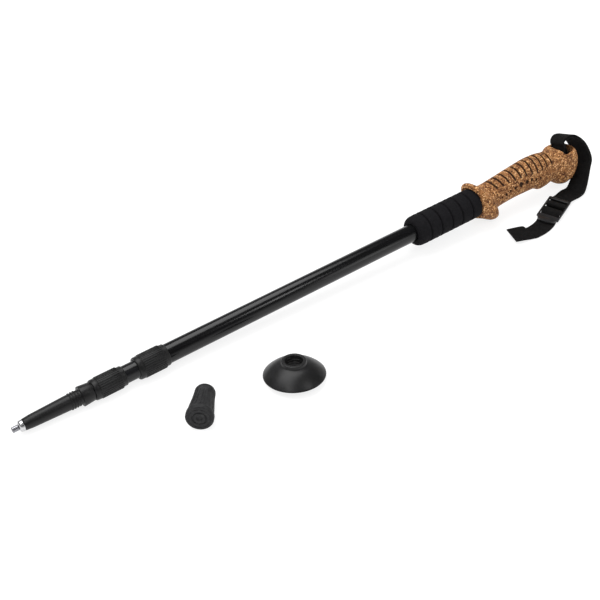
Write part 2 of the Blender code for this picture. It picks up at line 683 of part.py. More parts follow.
def make_grip_fittings(handle):
    half, edge = PIN_HALF_LENGTH, PIN_CHAMFER
    pin = turned([
        (-half, PIN_RADIUS - edge), (edge - half, PIN_RADIUS),
        (half - edge, PIN_RADIUS), (half, PIN_RADIUS - edge),
    ], 16)
    piece("strap_pin", pin, steel(), handle, (PIN_PLACE[0], 0.0, PIN_PLACE[1]), (0, 0, 90.0))

    plug = turned([(PLUG_SEAT + height, radius) for height, radius in PLUG_PROFILE], 20)
    piece("grip_side_plug", plug, cork(), handle, (PLUG_PLACE, 0, 0), plug_turn())

    bore, edge = UPPER_TUBE_RADIUS - TUBE_WALL - GAP, END_PLUG_CHAMFER
    end_plug = turned([
        (-END_PLUG_DEPTH, bore - edge), (edge - END_PLUG_DEPTH, bore), (GAP, bore), (GAP, UPPER_TUBE_RADIUS),
        (END_PLUG_HEAD - edge, UPPER_TUBE_RADIUS), (END_PLUG_HEAD, UPPER_TUBE_RADIUS - edge),
    ])
    piece("tube_end_plug", end_plug, nylon(), handle, (UPPER_TUBE_END, 0, 0))


# Wrist strap and buckle
def pole_to_ground(x, y, z):
    """A point of the pole's frame, in millimetres from the point on the ground under the tip."""
    turn = Matrix.Rotation(math.radians(-SLOPE), 3, "Y") @ Matrix.Rotation(math.radians(-LEAN), 3, "X")
    return turn @ Vector((x, y, z)) + Vector((0.0, 0.0, TIP_POINT[2]))


def buckle_matrix():
    heading = Matrix.Rotation(math.radians(BUCKLE_HEADING + 180.0), 3, "Z")
    return heading @ Matrix.Rotation(math.radians(-BUCKLE_PITCH), 3, "Y")


def buckle_to_ground(along, up):
    return buckle_matrix() @ Vector((along, 0.0, up)) + Vector(BUCKLE_PLACE)


def strap_stations():
    """Centre and width direction along the one strip: buckle, pin, back to the buckle, tail."""
    side = buckle_matrix() @ Vector((0.0, 1.0, 0.0))
    route = [(Vector(point), Vector(across).normalized()) for point, across in STRAP_ROUTE]
    points = [point for point, across in route]
    upper, lower = [], []
    for i, (point, across) in enumerate(route):
        ahead = points[min(i + 1, len(points) - 1)] - points[max(i - 1, 0)]
        normal = across.cross(ahead).normalized()
        upper.append((point - normal * LAYER_OFFSET, across))
        lower.append((point + normal * LAYER_OFFSET, across))

    pin_reach = PIN_RADIUS + PIN_SLACK + WEBBING / 2
    drawn_in, top = TURN_TOP
    turn_points = [(drawn_in - pin_reach, top)]
    for angle in (-180.0, -135.0, -90.0, -45.0, 0.0):
        turn_points.append((
            pin_reach * math.cos(math.radians(angle)), pin_reach * math.sin(math.radians(angle)),
        ))
    turn_points.append((pin_reach - drawn_in, top))
    turn_points = [
        (pole_to_ground(PIN_PLACE[0] + x, TURN_SIDE, PIN_PLACE[1] + z), route[0][1])
        for x, z in turn_points
    ]

    fixed_end = [(buckle_to_ground(*place), side) for place in FIXED_END]
    ladder = [(buckle_to_ground(*place), side) for place in LADDER_WEAVE]
    tail = [(Vector(point), Vector(across).normalized()) for point, across in TAIL_ROUTE]
    return fixed_end + upper[::-1] + turn_points + lower + ladder + tail


def ribbon(stations, width, thickness, steps):
    """A flat strip along the stations, as rings of four corners."""
    centres = spline([point for point, across in stations], steps)
    acrosses = spline([across for point, across in stations], steps)
    rings = []
    length = 0.0
    for i, (centre, across) in enumerate(zip(centres, acrosses)):
        ahead = (centres[min(i + 1, len(centres) - 1)] - centres[max(i - 1, 0)]).normalized()
        normal = across.cross(ahead).normalized()
        across = ahead.cross(normal) * width / 2
        normal = normal * thickness / 2
        rings.append([centre - across - normal, centre + across - normal,
                      centre + across + normal, centre - across + normal])
        if i:
            length += (centre - centres[i - 1]).length
    return body_of_rings(rings), length


def make_strap(ground):
    shape, length = ribbon(strap_stations(), STRAP_WIDTH, WEBBING, ROUTE_STEPS)
    print(f"webbing length {length:.0f} mm")
    return piece("wrist_strap", shape, webbing(), ground)


def make_buckle(ground):
    """A flat frame with four bars, whose front bar carries a rounded lip."""
    bars = (REAR_BAR, FIRST_BAR, LADDER_BAR, FRONT_BAR)
    rows = [edge for bar in bars for edge in bar]
    inner = BUCKLE_HALF_WIDTH - BUCKLE_RAIL
    columns = (-BUCKLE_HALF_WIDTH, -inner, inner, BUCKLE_HALF_WIDTH)
    shape = bmesh.new()
    grid = [[shape.verts.new((x, y, 0.0)) for y in columns] for x in rows]
    for i in range(len(rows) - 1):
        for j in range(len(columns) - 1):
            is_window = i % 2 == 1 and j == 1
            if not is_window:
                shape.faces.new((grid[i][j], grid[i][j + 1], grid[i + 1][j + 1], grid[i + 1][j]))
    front = FRONT_BAR[1]
    arc = []
    for k in range(1, 8):
        turn = math.pi * k / 8
        arc.append(shape.verts.new((
            front - LIP_LENGTH * math.sin(turn), -inner * math.cos(turn), LIP_RISE * math.sin(turn),
        )))
    fan = [grid[-1][1], *arc, grid[-1][2]]
    middle = shape.verts.new((front - 0.2, 0.0, 0.2))
    for first, second in zip(fan, fan[1:]):
        shape.faces.new((middle, first, second))
    shape.faces.new((middle, grid[-1][2], grid[-1][1]))
    bmesh.ops.recalc_face_normals(shape, faces=shape.faces)
    made = bmesh.ops.extrude_face_region(shape, geom=list(shape.faces))
    raised = [item for item in made["geom"] if isinstance(item, bmesh.types.BMVert)]
    bmesh.ops.translate(shape, vec=(0.0, 0.0, BUCKLE_THICKNESS), verts=raised)
    bmesh.ops.translate(shape, vec=(0.0, 0.0, -BUCKLE_THICKNESS / 2), verts=shape.verts)
    rotation = (0.0, -BUCKLE_PITCH, BUCKLE_HEADING + 180.0)
    return piece("strap_buckle", shape, moulded(), ground, BUCKLE_PLACE, rotation)


# Basket
def basket_ring(height, radius):
    turns = [math.tau * i / BASKET_SIDES for i in range(BASKET_SIDES)]
    return [(radius * math.cos(turn), radius * math.sin(turn), height) for turn in turns]


def hub_ring(height):
    """A ring of the hub's bore, with the ridge of its inner thread."""
    ring = []
    for i in range(BASKET_SIDES):
        turn = math.tau * i / BASKET_SIDES
        phase = (height / THREAD_PITCH - turn / math.tau) % 1.0
        ridge = max(0.0, 1.0 - abs(phase - 0.5) / RIDGE_SHARE)
        reach = HUB_BORE - HUB_THREAD * min(1.0, ridge * RIDGE_STEEPNESS)
        ring.append((reach * math.cos(turn), reach * math.sin(turn), height))
    return ring


def make_basket(body):
    rings = [basket_ring(*row) for row in BASKET_PROFILE]
    low, high = HUB_FOOT + HUB_CHAMFER, HUB_TOP - HUB_CHAMFER
    rings += [hub_ring(low + (high - low) * k / HUB_THREAD_STEPS) for k in range(HUB_THREAD_STEPS + 1)]
    return piece("basket", body_of_rings(rings, closed=True), moulded(), body)


# Rubber cap
def make_cap(body):
    """A bell of rubber with a ringed sole and fluted sides."""
    rings = []
    for place, radius, share in CAP_PROFILE:
        ring = circle(place, radius, CAP_SIDES)
        shrink = 1.0 - share * CAP_FLUTE_DEPTH / radius
        for i in range(0, CAP_SIDES, CAP_SIDES // CAP_FLUTES):
            x, y, z = ring[i]
            ring[i] = (x, y * shrink, z * shrink)
        rings.append(ring)
    return piece("rubber_cap", body_of_rings(rings), rubber(), body)


def make_washer(body):
    """The washer on the socket's floor that takes the tip."""
    profile = (
        (0.0, WASHER_BORE), (0.0, WASHER_RADIUS), (WASHER_THICKNESS, WASHER_RADIUS),
        (WASHER_THICKNESS, WASHER_BORE),
    )
    return piece("cap_washer", turned(profile, closed=True), steel(), body, (CAP_FLOOR + GAP, 0, 0))


def main():
    clear_scene()
    ground = frame("ground_under_tip", TIP_POINT[:2] + (0.0,))
    handle = frame("handle", (0.0, 0.0, TIP_POINT[2]), (-LEAN, -SLOPE, 0.0), ground)

    make_tube("upper_tube", handle, UPPER_TUBE_MOUTH, UPPER_TUBE_END, UPPER_TUBE_RADIUS)
    make_joint_collar("upper_joint_collar", handle, UPPER_COLLAR_START, UPPER_COLLAR_RADIUS,
                      UPPER_TUBE_RADIUS, MIDDLE_TUBE_RADIUS)
    make_foam(handle)
    make_grip(handle)
    make_grip_fittings(handle)
    make_strap(ground)
    make_buckle(ground)

    middle_expander = frame("middle_expander", parent=handle)
    middle_cone = frame("middle_cone", parent=middle_expander)
    middle_section = frame("middle_section", parent=middle_expander)
    make_tube("middle_tube", middle_section, MIDDLE_TUBE_MOUTH, MIDDLE_TUBE_END, MIDDLE_TUBE_RADIUS)
    make_joint_collar("lower_joint_collar", middle_section, LOWER_COLLAR_START, LOWER_COLLAR_RADIUS,
                      MIDDLE_TUBE_RADIUS, LOWER_TUBE_RADIUS)
    make_twist_lock("middle", middle_section, middle_expander, middle_cone,
                    MIDDLE_TUBE_END, MIDDLE_TUBE_RADIUS, MIDDLE_STUD_RADIUS)

    lower_expander = frame("lower_expander", parent=middle_section)
    lower_cone = frame("lower_cone", parent=lower_expander)
    lower_section = frame("lower_section", parent=lower_expander)
    make_tube("lower_tube", lower_section, LOWER_TUBE_MOUTH, LOWER_TUBE_END, LOWER_TUBE_RADIUS)
    make_twist_lock("lower", lower_section, lower_expander, lower_cone,
                    LOWER_TUBE_END, LOWER_TUBE_RADIUS, LOWER_STUD_RADIUS)
    make_ferrule(lower_section)
    make_tip(lower_section)

    basket = frame("basket_place", BASKET_PLACE, (0.0, BASKET_TILT, BASKET_HEADING), ground)
    make_basket(basket)
    cap = frame("rubber_cap_place", CAP_PLACE, (0.0, CAP_PITCH, CAP_HEADING), ground)
    make_cap(cap)
    make_washer(cap)


main()
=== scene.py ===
# %% [markdown]
# # A telescopic walking pole, with its basket and its rubber cap
# The pole lies collapsed on a pale table, its tip towards us. A cork grip and a foam sleeve sit on the
# top tube, two twist locks join the tubes, and a basket and a rubber cap lie loose beside it. Each step
# below takes one of these pieces, says what it is, and makes it in the finest form that can be seen.

# %% Start: the assembled frame and its room
import math

import bmesh
import bpy
import numpy as np
from mathutils import Matrix, Vector


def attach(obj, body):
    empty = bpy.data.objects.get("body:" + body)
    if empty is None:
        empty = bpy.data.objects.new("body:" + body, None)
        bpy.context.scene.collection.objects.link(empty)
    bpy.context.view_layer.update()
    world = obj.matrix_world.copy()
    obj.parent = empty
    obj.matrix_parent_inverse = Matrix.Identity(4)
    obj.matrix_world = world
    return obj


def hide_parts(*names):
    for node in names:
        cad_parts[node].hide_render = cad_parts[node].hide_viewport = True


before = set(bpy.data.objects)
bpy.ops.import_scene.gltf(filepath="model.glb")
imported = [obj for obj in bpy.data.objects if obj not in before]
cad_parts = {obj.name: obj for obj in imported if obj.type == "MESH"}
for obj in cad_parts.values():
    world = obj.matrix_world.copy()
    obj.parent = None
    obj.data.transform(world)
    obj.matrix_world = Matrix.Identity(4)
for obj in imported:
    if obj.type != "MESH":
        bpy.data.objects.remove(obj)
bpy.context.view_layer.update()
print("pieces in the frame:", len(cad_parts))

# %% [markdown]
# The pole doesn't lie level. It rests on its lower collar and on the guard of the grip, so its axis rises
# towards the handle, and the palm side leans away from us. All pole pieces are drawn along one straight
# axis, in millimetres from the tip, and then carried to their place by one matrix.

# %% Places: from the drawing of a piece to the table
MM = 0.001
TIP = Vector((-340.0, 43.3, 7.03))
SLOPE = 2.09
LEAN = 10.0
POLE_LENGTH = 667.2


def turned_by(x=0.0, y=0.0, z=0.0):
    """A rotation in degrees, about X first, then Y, then Z."""
    turns = [Matrix.Rotation(math.radians(a), 4, axis) for a, axis in ((z, "Z"), (y, "Y"), (x, "X"))]
    return turns[0] @ turns[1] @ turns[2]


table = Matrix.Translation((TIP.x, TIP.y, 0.0))
pole = Matrix.Translation(TIP) @ turned_by(-LEAN, -SLOPE)
print("the axis rises by", round(math.sin(math.radians(SLOPE)) * POLE_LENGTH), "mm from tip to head")

# %% [markdown]
# Nearly every piece is a stack of rings. Joining each ring to the next gives a skin without seams, and
# flat fans at both ends, or a link from the last ring to the first, close it into one body. Its hard
# edges are then rounded a little, because no moulded or turned edge is sharp and the round catches light.

# %% Rings: the skin that all pieces share
def ring(x, radius, sides=96):
    """A circle of points round the X axis."""
    turns = np.arange(sides) * math.tau / sides
    return np.stack([np.full(sides, x), radius * np.cos(turns), radius * np.sin(turns)], axis=1)


def skin(rings, closed=False):
    """One body through rings of equally many points."""
    shape = bmesh.new()
    loops = [[shape.verts.new(point) for point in points] for points in rings]
    pairs = list(zip(loops, loops[1:]))
    if closed:
        pairs.append((loops[-1], loops[0]))
    else:
        shape.faces.new(loops[0])
        shape.faces.new(loops[-1])
    count = len(loops[0])
    for first, second in pairs:
        for i in range(count):
            j = (i + 1) % count
            shape.faces.new((first[i], first[j], second[j], second[i]))
    bmesh.ops.recalc_face_normals(shape, faces=shape.faces)
    return shape


def soften(shape, width, least=28.0):
    """Rounds every edge that bends by more than the least angle."""
    hard = [e for e in shape.edges if e.is_manifold and e.calc_face_angle() > math.radians(least)]
    if hard:
        bmesh.ops.bevel(shape, geom=hard, offset=width, segments=2, profile=0.5, affect="EDGES",
                        clamp_overlap=True)
    return shape


def thing(name, shape, place, look):
    """A named object from a drawing in millimetres, with its corners already where they belong."""
    shape.transform(Matrix.Diagonal((MM, MM, MM, 1.0)) @ place)
    bmesh.ops.recalc_face_normals(shape, faces=shape.faces)
    mesh = bpy.data.meshes.new(name)
    shape.to_mesh(mesh)
    shape.free()
    mesh.shade_smooth()
    mesh.set_sharp_from_angle(angle=math.radians(50.0))
    mesh.materials.append(look)
    made = bpy.data.objects.new(name, mesh)
    bpy.context.collection.objects.link(made)
    return made


def turned(profile, sides=96, closed=False):
    """A body turned on a lathe, from points of place and radius."""
    return skin([ring(x, radius, sides) for x, radius in profile], closed)


def fit(piece, body, *nodes):
    """The piece rides with a body and stands for the plain nodes of the frame."""
    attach(piece, body)
    if nodes:
        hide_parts(*nodes)
    print(f"{piece.name}: {len(piece.data.polygons)} faces, rides with {body}")


# %% [markdown]
# Looks are formulas over the surface. To write them as formulas, a number in the node tree is wrapped so
# that the usual signs work on it. The same wrapper serves the trees that shape repeated details.

# %% Formulas: numbers in a node tree
class Number:
    """A socket of a tree that can be added, multiplied and compared."""

    def __init__(self, tree, socket):
        self.tree = tree
        self.socket = socket

    def maths(self, kind, first, second=None):
        inputs = {0: first} if second is None else {0: first, 1: second}
        return self.tree.out("ShaderNodeMath", inputs, operation=kind)

    def __add__(self, other):
        return self.maths("ADD", self, other)

    def __sub__(self, other):
        return self.maths("SUBTRACT", self, other)

    def __rsub__(self, other):
        return self.maths("SUBTRACT", other, self)

    def __mul__(self, other):
        return self.maths("MULTIPLY", self, other)

    def __truediv__(self, other):
        return self.maths("DIVIDE", self, other)

    def __abs__(self):
        return self.maths("ABSOLUTE", self)

    def wave(self):
        return self.maths("SINE", self)

    def least(self, other):
        return self.maths("MINIMUM", self, other)

    def most(self, other):
        return self.maths("MAXIMUM", self, other)

    def between(self, low, high, start=0.0, end=1.0):
        """Eases from start to end while this number goes from low to high."""
        return self.tree.out("ShaderNodeMapRange", {0: self, 1: low, 2: high, 3: start, 4: end},
                             interpolation_type="SMOOTHSTEP")


class Tree:
    """A node tree with one way to add any node."""

    def __init__(self, nodes, links):
        self.nodes = nodes
        self.links = links

    def node(self, kind, inputs=None, **settings):
        made = self.nodes.new(kind)
        for key, value in settings.items():
            setattr(made, key, value)
        for key, value in (inputs or {}).items():
            self.plug(made.inputs[key], value)
        return made

    def plug(self, socket, value):
        if isinstance(value, Number):
            self.links.new(value.socket, socket)
        else:
            socket.default_value = value

    def out(self, kind, inputs=None, output=0, **settings):
        return Number(self, self.node(kind, inputs, **settings).outputs[output])

    def vector(self, kind, first, second):
        """Vector maths, for places and directions."""
        return self.out("ShaderNodeVectorMath", {0: first, 1: second}, operation=kind)


class Look(Tree):
    """A material under construction."""

    def __init__(self, name, **constants):
        self.material = bpy.data.materials.new(name)
        self.material.use_nodes = True
        super().__init__(self.material.node_tree.nodes, self.material.node_tree.links)
        self.shader = self.nodes["Principled BSDF"]
        for key, value in constants.items():
            self.shader.inputs[key.replace("_", " ")].default_value = value
        here = self.out("ShaderNodeTexCoord", output="Object")
        self.spot = self.vector("MULTIPLY", here, (1000.0, 1000.0, 1000.0))

    def noise(self, scale, detail=2.0, where=None, rough=0.5):
        """Soft clouds, scale in lumps a millimetre."""
        spot = self.spot if where is None else where
        return self.out("ShaderNodeTexNoise", {"Vector": spot, "Scale": scale, "Detail": detail,
                                               "Roughness": rough})

    def cells(self, scale, output="Distance", where=None, feature="F1"):
        """Grains, scale in grains a millimetre."""
        spot = self.spot if where is None else where
        return self.out("ShaderNodeTexVoronoi", {"Vector": spot, "Scale": scale}, output, feature=feature)

    def mix(self, share, first, second):
        """A colour between two."""
        first, second = [c if isinstance(c, Number) else (*c, 1.0) for c in (first, second)]
        return self.out("ShaderNodeMix", {0: share, 6: first, 7: second}, 2, data_type="RGBA")

    def ramp(self, number, stops):
        """A colour read off a scale of stops."""
        made = self.node("ShaderNodeValToRGB", {0: number})
        scale = made.color_ramp
        for k, (at, colour) in enumerate(stops):
            stop = scale.elements[k] if k < 2 else scale.elements.new(at)
            stop.position = at
            stop.color = (*colour, 1.0)
        return Number(self, made.outputs[0])

    def paint(self, height=None, rise=0.1, **inputs):
        """Links the formulas to the shader; height is in millimetres once multiplied by rise."""
        for key, value in inputs.items():
            self.plug(self.shader.inputs[key.replace("_", " ")], value)
        if height is not None:
            bump = self.out("ShaderNodeBump", {"Height": height, "Distance": rise * MM, "Strength": 1.0})
            self.plug(self.shader.inputs["Normal"], bump)
        return self.material


print("formulas can be written as sums and products of", Number.__name__, "objects")


# %% [markdown]
# Crushed cork is granulate bonded under pressure. Each granule is one colour, from nearly black bark to
# pale cork, with a fine dark line of glue round it. Two sizes of grains laid over each other, each with
# its own random tone, give the mottled look, and the grains stand out of the glue a little. Where the
# grip is carved, painted shade darkens the cork in the grooves and dimples. Grains and pits are counted
# to the millimetre.

# %% Look: crushed cork
COARSE_GRAINS = 0.62
FINE_GRAINS = 1.2
PITS = 0.9
DRIFT = 0.9
CORK_TONES = (
    (0.06, (0.042, 0.014, 0.005)), (0.26, (0.130, 0.045, 0.014)), (0.50, (0.295, 0.120, 0.040)),
    (0.72, (0.520, 0.240, 0.082)), (0.94, (1.000, 0.610, 0.290)),
)
GLUE_BROWN = (0.075, 0.028, 0.010)
# Painted shade: the dark brown that carved grooves and dimples are darkened towards.
PAINTED_GROOVE_SHADE = (0.030, 0.012, 0.005)


def cork_look():
    look = Look("crushed_cork", Specular_IOR_Level=0.25)
    clouds = look.out("ShaderNodeTexNoise", {"Vector": look.spot, "Scale": DRIFT}, "Color")
    where = look.vector("ADD", look.spot, look.vector("MULTIPLY", clouds, (DRIFT,) * 3))
    coarse = look.out("ShaderNodeSeparateColor", {0: look.cells(COARSE_GRAINS, "Color", where)})
    fine = look.out("ShaderNodeSeparateColor", {0: look.cells(FINE_GRAINS, "Color", where)})
    patch = look.noise(0.10, 3.0)
    colour = look.ramp(coarse * 0.42 + fine * 0.72 + patch * 0.36 - 0.27, CORK_TONES)
    glue = look.cells(FINE_GRAINS, "Distance", where, "DISTANCE_TO_EDGE").between(0.0, 0.12, 0.6, 1.0)
    colour = look.mix(1.0 - glue, colour, GLUE_BROWN)
    pits = look.cells(PITS).between(0.0, 0.28)
    # Painted shade: the deeper a point is carved, the more its colour goes to the painted groove shade.
    carving = look.out("ShaderNodeAttribute", output="Fac", attribute_name="carved")
    colour = look.mix(carving.between(0.0, 0.4) * 0.96, colour, PAINTED_GROOVE_SHADE)
    height = look.cells(FINE_GRAINS, "Distance", where) * -0.7 + glue * 0.6 + pits * 0.5
    return look.paint(height, 0.28, Base_Color=colour, Roughness=fine.between(0.0, 1.0, 0.62, 0.85))


cork = cork_look()
print("cork: grains of about", round(1 / COARSE_GRAINS, 1), "and", round(1 / FINE_GRAINS, 1), "mm")


# %% [markdown]
# The black pieces differ only in small ways, and those small ways tell them apart. Foam is dull and full
# of closed pores. Anodised tube is smooth and mirrors a lamp as a stripe. Moulded nylon has a fine sparked
# grain. Rubber is dusty, with pale specks.

# %% Looks: foam, anodised tube, moulded nylon, rubber
def foam_look():
    look = Look("black_foam", Roughness=0.9, Specular_IOR_Level=0.10)
    pores = look.cells(1.7)
    cloud = look.noise(0.35, 4.0)
    share = (pores * 0.8 + cloud * 0.5).between(0.25, 0.85)
    colour = look.mix(share, (0.0035, 0.0035, 0.004), (0.010, 0.0095, 0.011))
    return look.paint(pores * 0.6 + look.noise(3.2, 2.0) * 0.5, 0.16, Base_Color=colour)


def anodised_look(name, tone):
    """Tube stock, drawn lengthwise: the faint streaks run along the pole."""
    look = Look(name, Specular_IOR_Level=0.35)
    drawn = look.vector("MULTIPLY", look.spot, (0.02, 1.0, 1.0))
    streak = look.noise(1.6, 3.0, drawn)
    cloud = look.noise(0.05, 2.0)
    colour = look.mix(streak.between(0.3, 0.7), (tone * 0.8,) * 3, (tone * 1.15, tone * 1.15, tone * 1.35))
    rough = streak * 0.05 + cloud * 0.05 + 0.16
    return look.paint(look.noise(2.6, 2.0, drawn), 0.002, Base_Color=colour, Roughness=rough)


def moulded_look(name, tone, rough, grain=0.008):
    look = Look(name, Specular_IOR_Level=0.3)
    sparked = look.noise(3.6, 2.0)
    cloud = look.noise(0.12, 3.0)
    colour = look.mix(cloud.between(0.3, 0.7), (tone * 0.82,) * 3, (tone * 1.15, tone * 1.13, tone * 1.22))
    uneven = cloud * 0.12 + sparked * 0.10 + (rough - 0.11)
    return look.paint(sparked, grain, Base_Color=colour, Roughness=uneven)


def rubber_look():
    look = Look("black_rubber", Specular_IOR_Level=0.3)
    dust = look.noise(0.28, 5.0, rough=0.65)
    specks = look.cells(1.1).between(0.02, 0.2, 1.0, 0.0)
    colour = look.mix(dust.between(0.42, 0.75), (0.010, 0.010, 0.011), (0.036, 0.036, 0.037))
    colour = look.mix(specks * 0.3, colour, (0.07, 0.07, 0.07))
    dry = dust.between(0.3, 0.8, 0.55, 0.8)
    return look.paint(look.noise(2.2, 3.0), 0.05, Base_Color=colour, Roughness=dry)


foam = foam_look()
upper_finish = anodised_look("gloss_anodised", 0.004)
lower_finish = anodised_look("satin_anodised", 0.008)
nylon = moulded_look("moulded_nylon", 0.006, 0.40)
buckle_nylon = moulded_look("buckle_nylon", 0.016, 0.30, 0.005)
basket_nylon = moulded_look("basket_nylon", 0.010, 0.36, 0.006)
rubber = rubber_look()
print("black looks: foam, two tubes, three nylons, rubber")


# %% [markdown]
# Steel shows its turning marks, the hard tip its ground grain, and the grey nylon inside the tubes its
# mould marks. The webbing's look follows two numbers that the strip carries with it: how far along and
# how far across it a point lies. Slanted ribs that meet in the middle are the weave of strap webbing.

# %% Looks: steel, hard metal, grey nylon, webbing
def metal_look(name, light, dark, rough):
    look = Look(name, Metallic=1.0)
    across = look.vector("MULTIPLY", look.spot, (1.0, 0.06, 0.06))
    marks = look.noise(5.5, 2.0, across)
    cloud = look.noise(0.5, 2.0)
    colour = look.mix(marks.between(0.25, 0.75), dark, light)
    uneven = cloud * 0.15 + marks * 0.12 + (rough - 0.13)
    return look.paint(marks, 0.02, Base_Color=colour, Roughness=uneven)


def inner_nylon_look():
    look = Look("grey_nylon", Specular_IOR_Level=0.4)
    cloud = look.noise(0.3, 3.0)
    colour = look.mix(cloud.between(0.3, 0.7), (0.27, 0.27, 0.26), (0.38, 0.38, 0.37))
    return look.paint(look.noise(2.0), 0.04, Base_Color=colour, Roughness=cloud * 0.2 + 0.4)


def webbing_look():
    look = Look("black_webbing", Specular_IOR_Level=0.1)
    flat = look.out("ShaderNodeUVMap", uv_map="strip")
    parts = look.node("ShaderNodeSeparateXYZ", {0: flat})
    along, across = [Number(look, parts.outputs[k]) * 1000.0 for k in (0, 1)]
    bent = along + abs(across) * 0.9
    rib = (bent * (math.tau / 1.25)).wave()
    thread = (across * (math.tau / 0.9)).wave()
    edge = abs(across).between(8.6, 9.6)
    weave = (rib * 0.5 + thread * 0.3) * (1.0 - edge * 0.6) + edge * 0.4
    worn = look.noise(0.25, 4.0)
    tone = weave * 0.25 + worn * 0.7 + 0.1
    colour = look.mix(tone.between(0.1, 0.9), (0.003, 0.003, 0.003), (0.012, 0.011, 0.011))
    return look.paint(weave + look.noise(4.0) * 0.3, 0.14, Base_Color=colour,
                      Roughness=weave.between(-0.8, 0.8, 0.9, 0.72))


steel = metal_look("turned_steel", (0.78, 0.78, 0.79), (0.42, 0.42, 0.43), 0.26)
hard_metal = metal_look("ground_hard_metal", (0.46, 0.46, 0.48), (0.16, 0.16, 0.18), 0.36)
grey_nylon = inner_nylon_look()
webbing = webbing_look()
print("metals, grey nylon and webbing are ready")

# %% [markdown]
# The three tubes are plain drawn aluminium, 18, 16 and 14 mm across, each sliding in the next. Only their
# ends need care: a cut end is rounded over so that it doesn't scrape the tube outside it.

# %% Tubes
TUBES = (
    ("upper", "handle", 118.9, 620.0, 9.0, upper_finish),
    ("middle", "middle_section", 76.5, 545.0, 8.0, lower_finish),
    ("lower", "lower_section", 65.5, 480.0, 7.0, lower_finish),
)
TUBE_WALL = 0.7


def tube(name, body, mouth, end, radius, look):
    inner = radius - TUBE_WALL
    profile = [(mouth, inner), (mouth, radius), (end, radius), (end, inner)]
    shape = soften(turned(profile, closed=True), 0.2)
    fit(thing(name + "_drawn_tube", shape, pole, look), body, name + "_tube")


for row in TUBES:
    tube(*row)

# %% [markdown]
# Bars that stand round an axis turn up three times here: as the finger ribs of both collars and as the
# flutes of the rubber cap. They are one small recipe. It takes the line that a bar follows, gives the line
# a round section, and copies it round the axis by an even angle.

# %% Recipe: bars round an axis
def recipe(name, sockets):
    """An empty geometry recipe with named sizes, and the numbers it can be written with."""
    group = bpy.data.node_groups.new(name, "GeometryNodeTree")
    face = group.interface
    face.new_socket("Geometry", in_out="INPUT", socket_type="NodeSocketGeometry")
    for title, kind in sockets:
        face.new_socket(title, in_out="INPUT", socket_type=kind)
    face.new_socket("Geometry", in_out="OUTPUT", socket_type="NodeSocketGeometry")
    tree = Tree(group.nodes, group.links)
    start = tree.node("NodeGroupInput")
    sizes = {title: Number(tree, start.outputs[title]) for title in ["Geometry", *[s[0] for s in sockets]]}
    return group, tree, sizes


def finish_recipe(tree, shape, look):
    """Ends a recipe: real copies, one material."""
    real = tree.out("GeometryNodeRealizeInstances", {0: shape})
    painted = tree.out("GeometryNodeSetMaterial", {"Geometry": real, "Material": look})
    tree.node("NodeGroupOutput", {0: painted})


def bars_recipe():
    group, tree, size = recipe("bars_round_axis", [
        ("Count", "NodeSocketInt"), ("Thickness", "NodeSocketFloat"), ("Look", "NodeSocketMaterial"),
    ])
    line = tree.out("GeometryNodeMeshToCurve", {0: size["Geometry"]})
    section = tree.out("GeometryNodeCurvePrimitiveCircle", {"Resolution": 8, "Radius": size["Thickness"]})
    bar = tree.out("GeometryNodeCurveToMesh", {"Curve": line, "Profile Curve": section, "Fill Caps": True})
    points = tree.out("GeometryNodePoints", {"Count": size["Count"]})
    turn = tree.out("GeometryNodeInputIndex") * math.tau / size["Count"]
    angle = tree.out("ShaderNodeCombineXYZ", {0: turn})
    copies = tree.out("GeometryNodeInstanceOnPoints", {
        "Points": points, "Instance": bar, "Rotation": angle,
    })
    finish_recipe(tree, copies, size["Look"])
    return group


def line_object(points):
    """A bare line of points and edges, in metres, for a recipe to follow."""
    mesh = bpy.data.meshes.new("line")
    edges = [(i, i + 1) for i in range(len(points) - 1)]
    mesh.from_pydata([Vector(p) * MM for p in points], edges, [])
    made = bpy.data.objects.new("line", mesh)
    bpy.context.collection.objects.link(made)
    return made


def cook(group, name, source, place, **sizes):
    """Runs a recipe on an object and keeps the plain mesh that it gives, in its place."""
    step = source.modifiers.new("recipe", "NODES")
    step.node_group = group
    for item in group.interface.items_tree:
        if item.in_out == "INPUT" and item.name in sizes:
            step[item.identifier] = sizes[item.name]
    source.update_tag()
    depsgraph = bpy.context.evaluated_depsgraph_get()
    mesh = bpy.data.meshes.new_from_object(source.evaluated_get(depsgraph))
    source.modifiers.remove(step)
    bpy.data.objects.remove(source)
    to_metres = Matrix.Diagonal((MM, MM, MM, 1.0))
    mesh.transform(to_metres @ place @ to_metres.inverted())
    mesh.name = name
    mesh.shade_smooth()
    made = bpy.data.objects.new(name, mesh)
    bpy.context.collection.objects.link(made)
    return made


bars = bars_recipe()
print("recipe:", bars.name, "for ribs and flutes")

# %% [markdown]
# A collar is the grip of a twist lock, moulded over the mouth of the outer tube. It has a plain band with
# a fine groove behind it, a barrel set all round with finger ribs that end all at once, and a lower plain
# band. The body is turned on the lathe and the ribs are set into it.

# %% Joint collars
RIB_THICKNESS = 0.62
COLLAR_LENGTH = 30.2
COLLARS = (
    ("upper_joint_collar", "handle", 115.4, 10.95, 9.0, 8.0, 36),
    ("lower_joint_collar", "middle_section", 73.0, 9.95, 8.0, 7.0, 32),
)


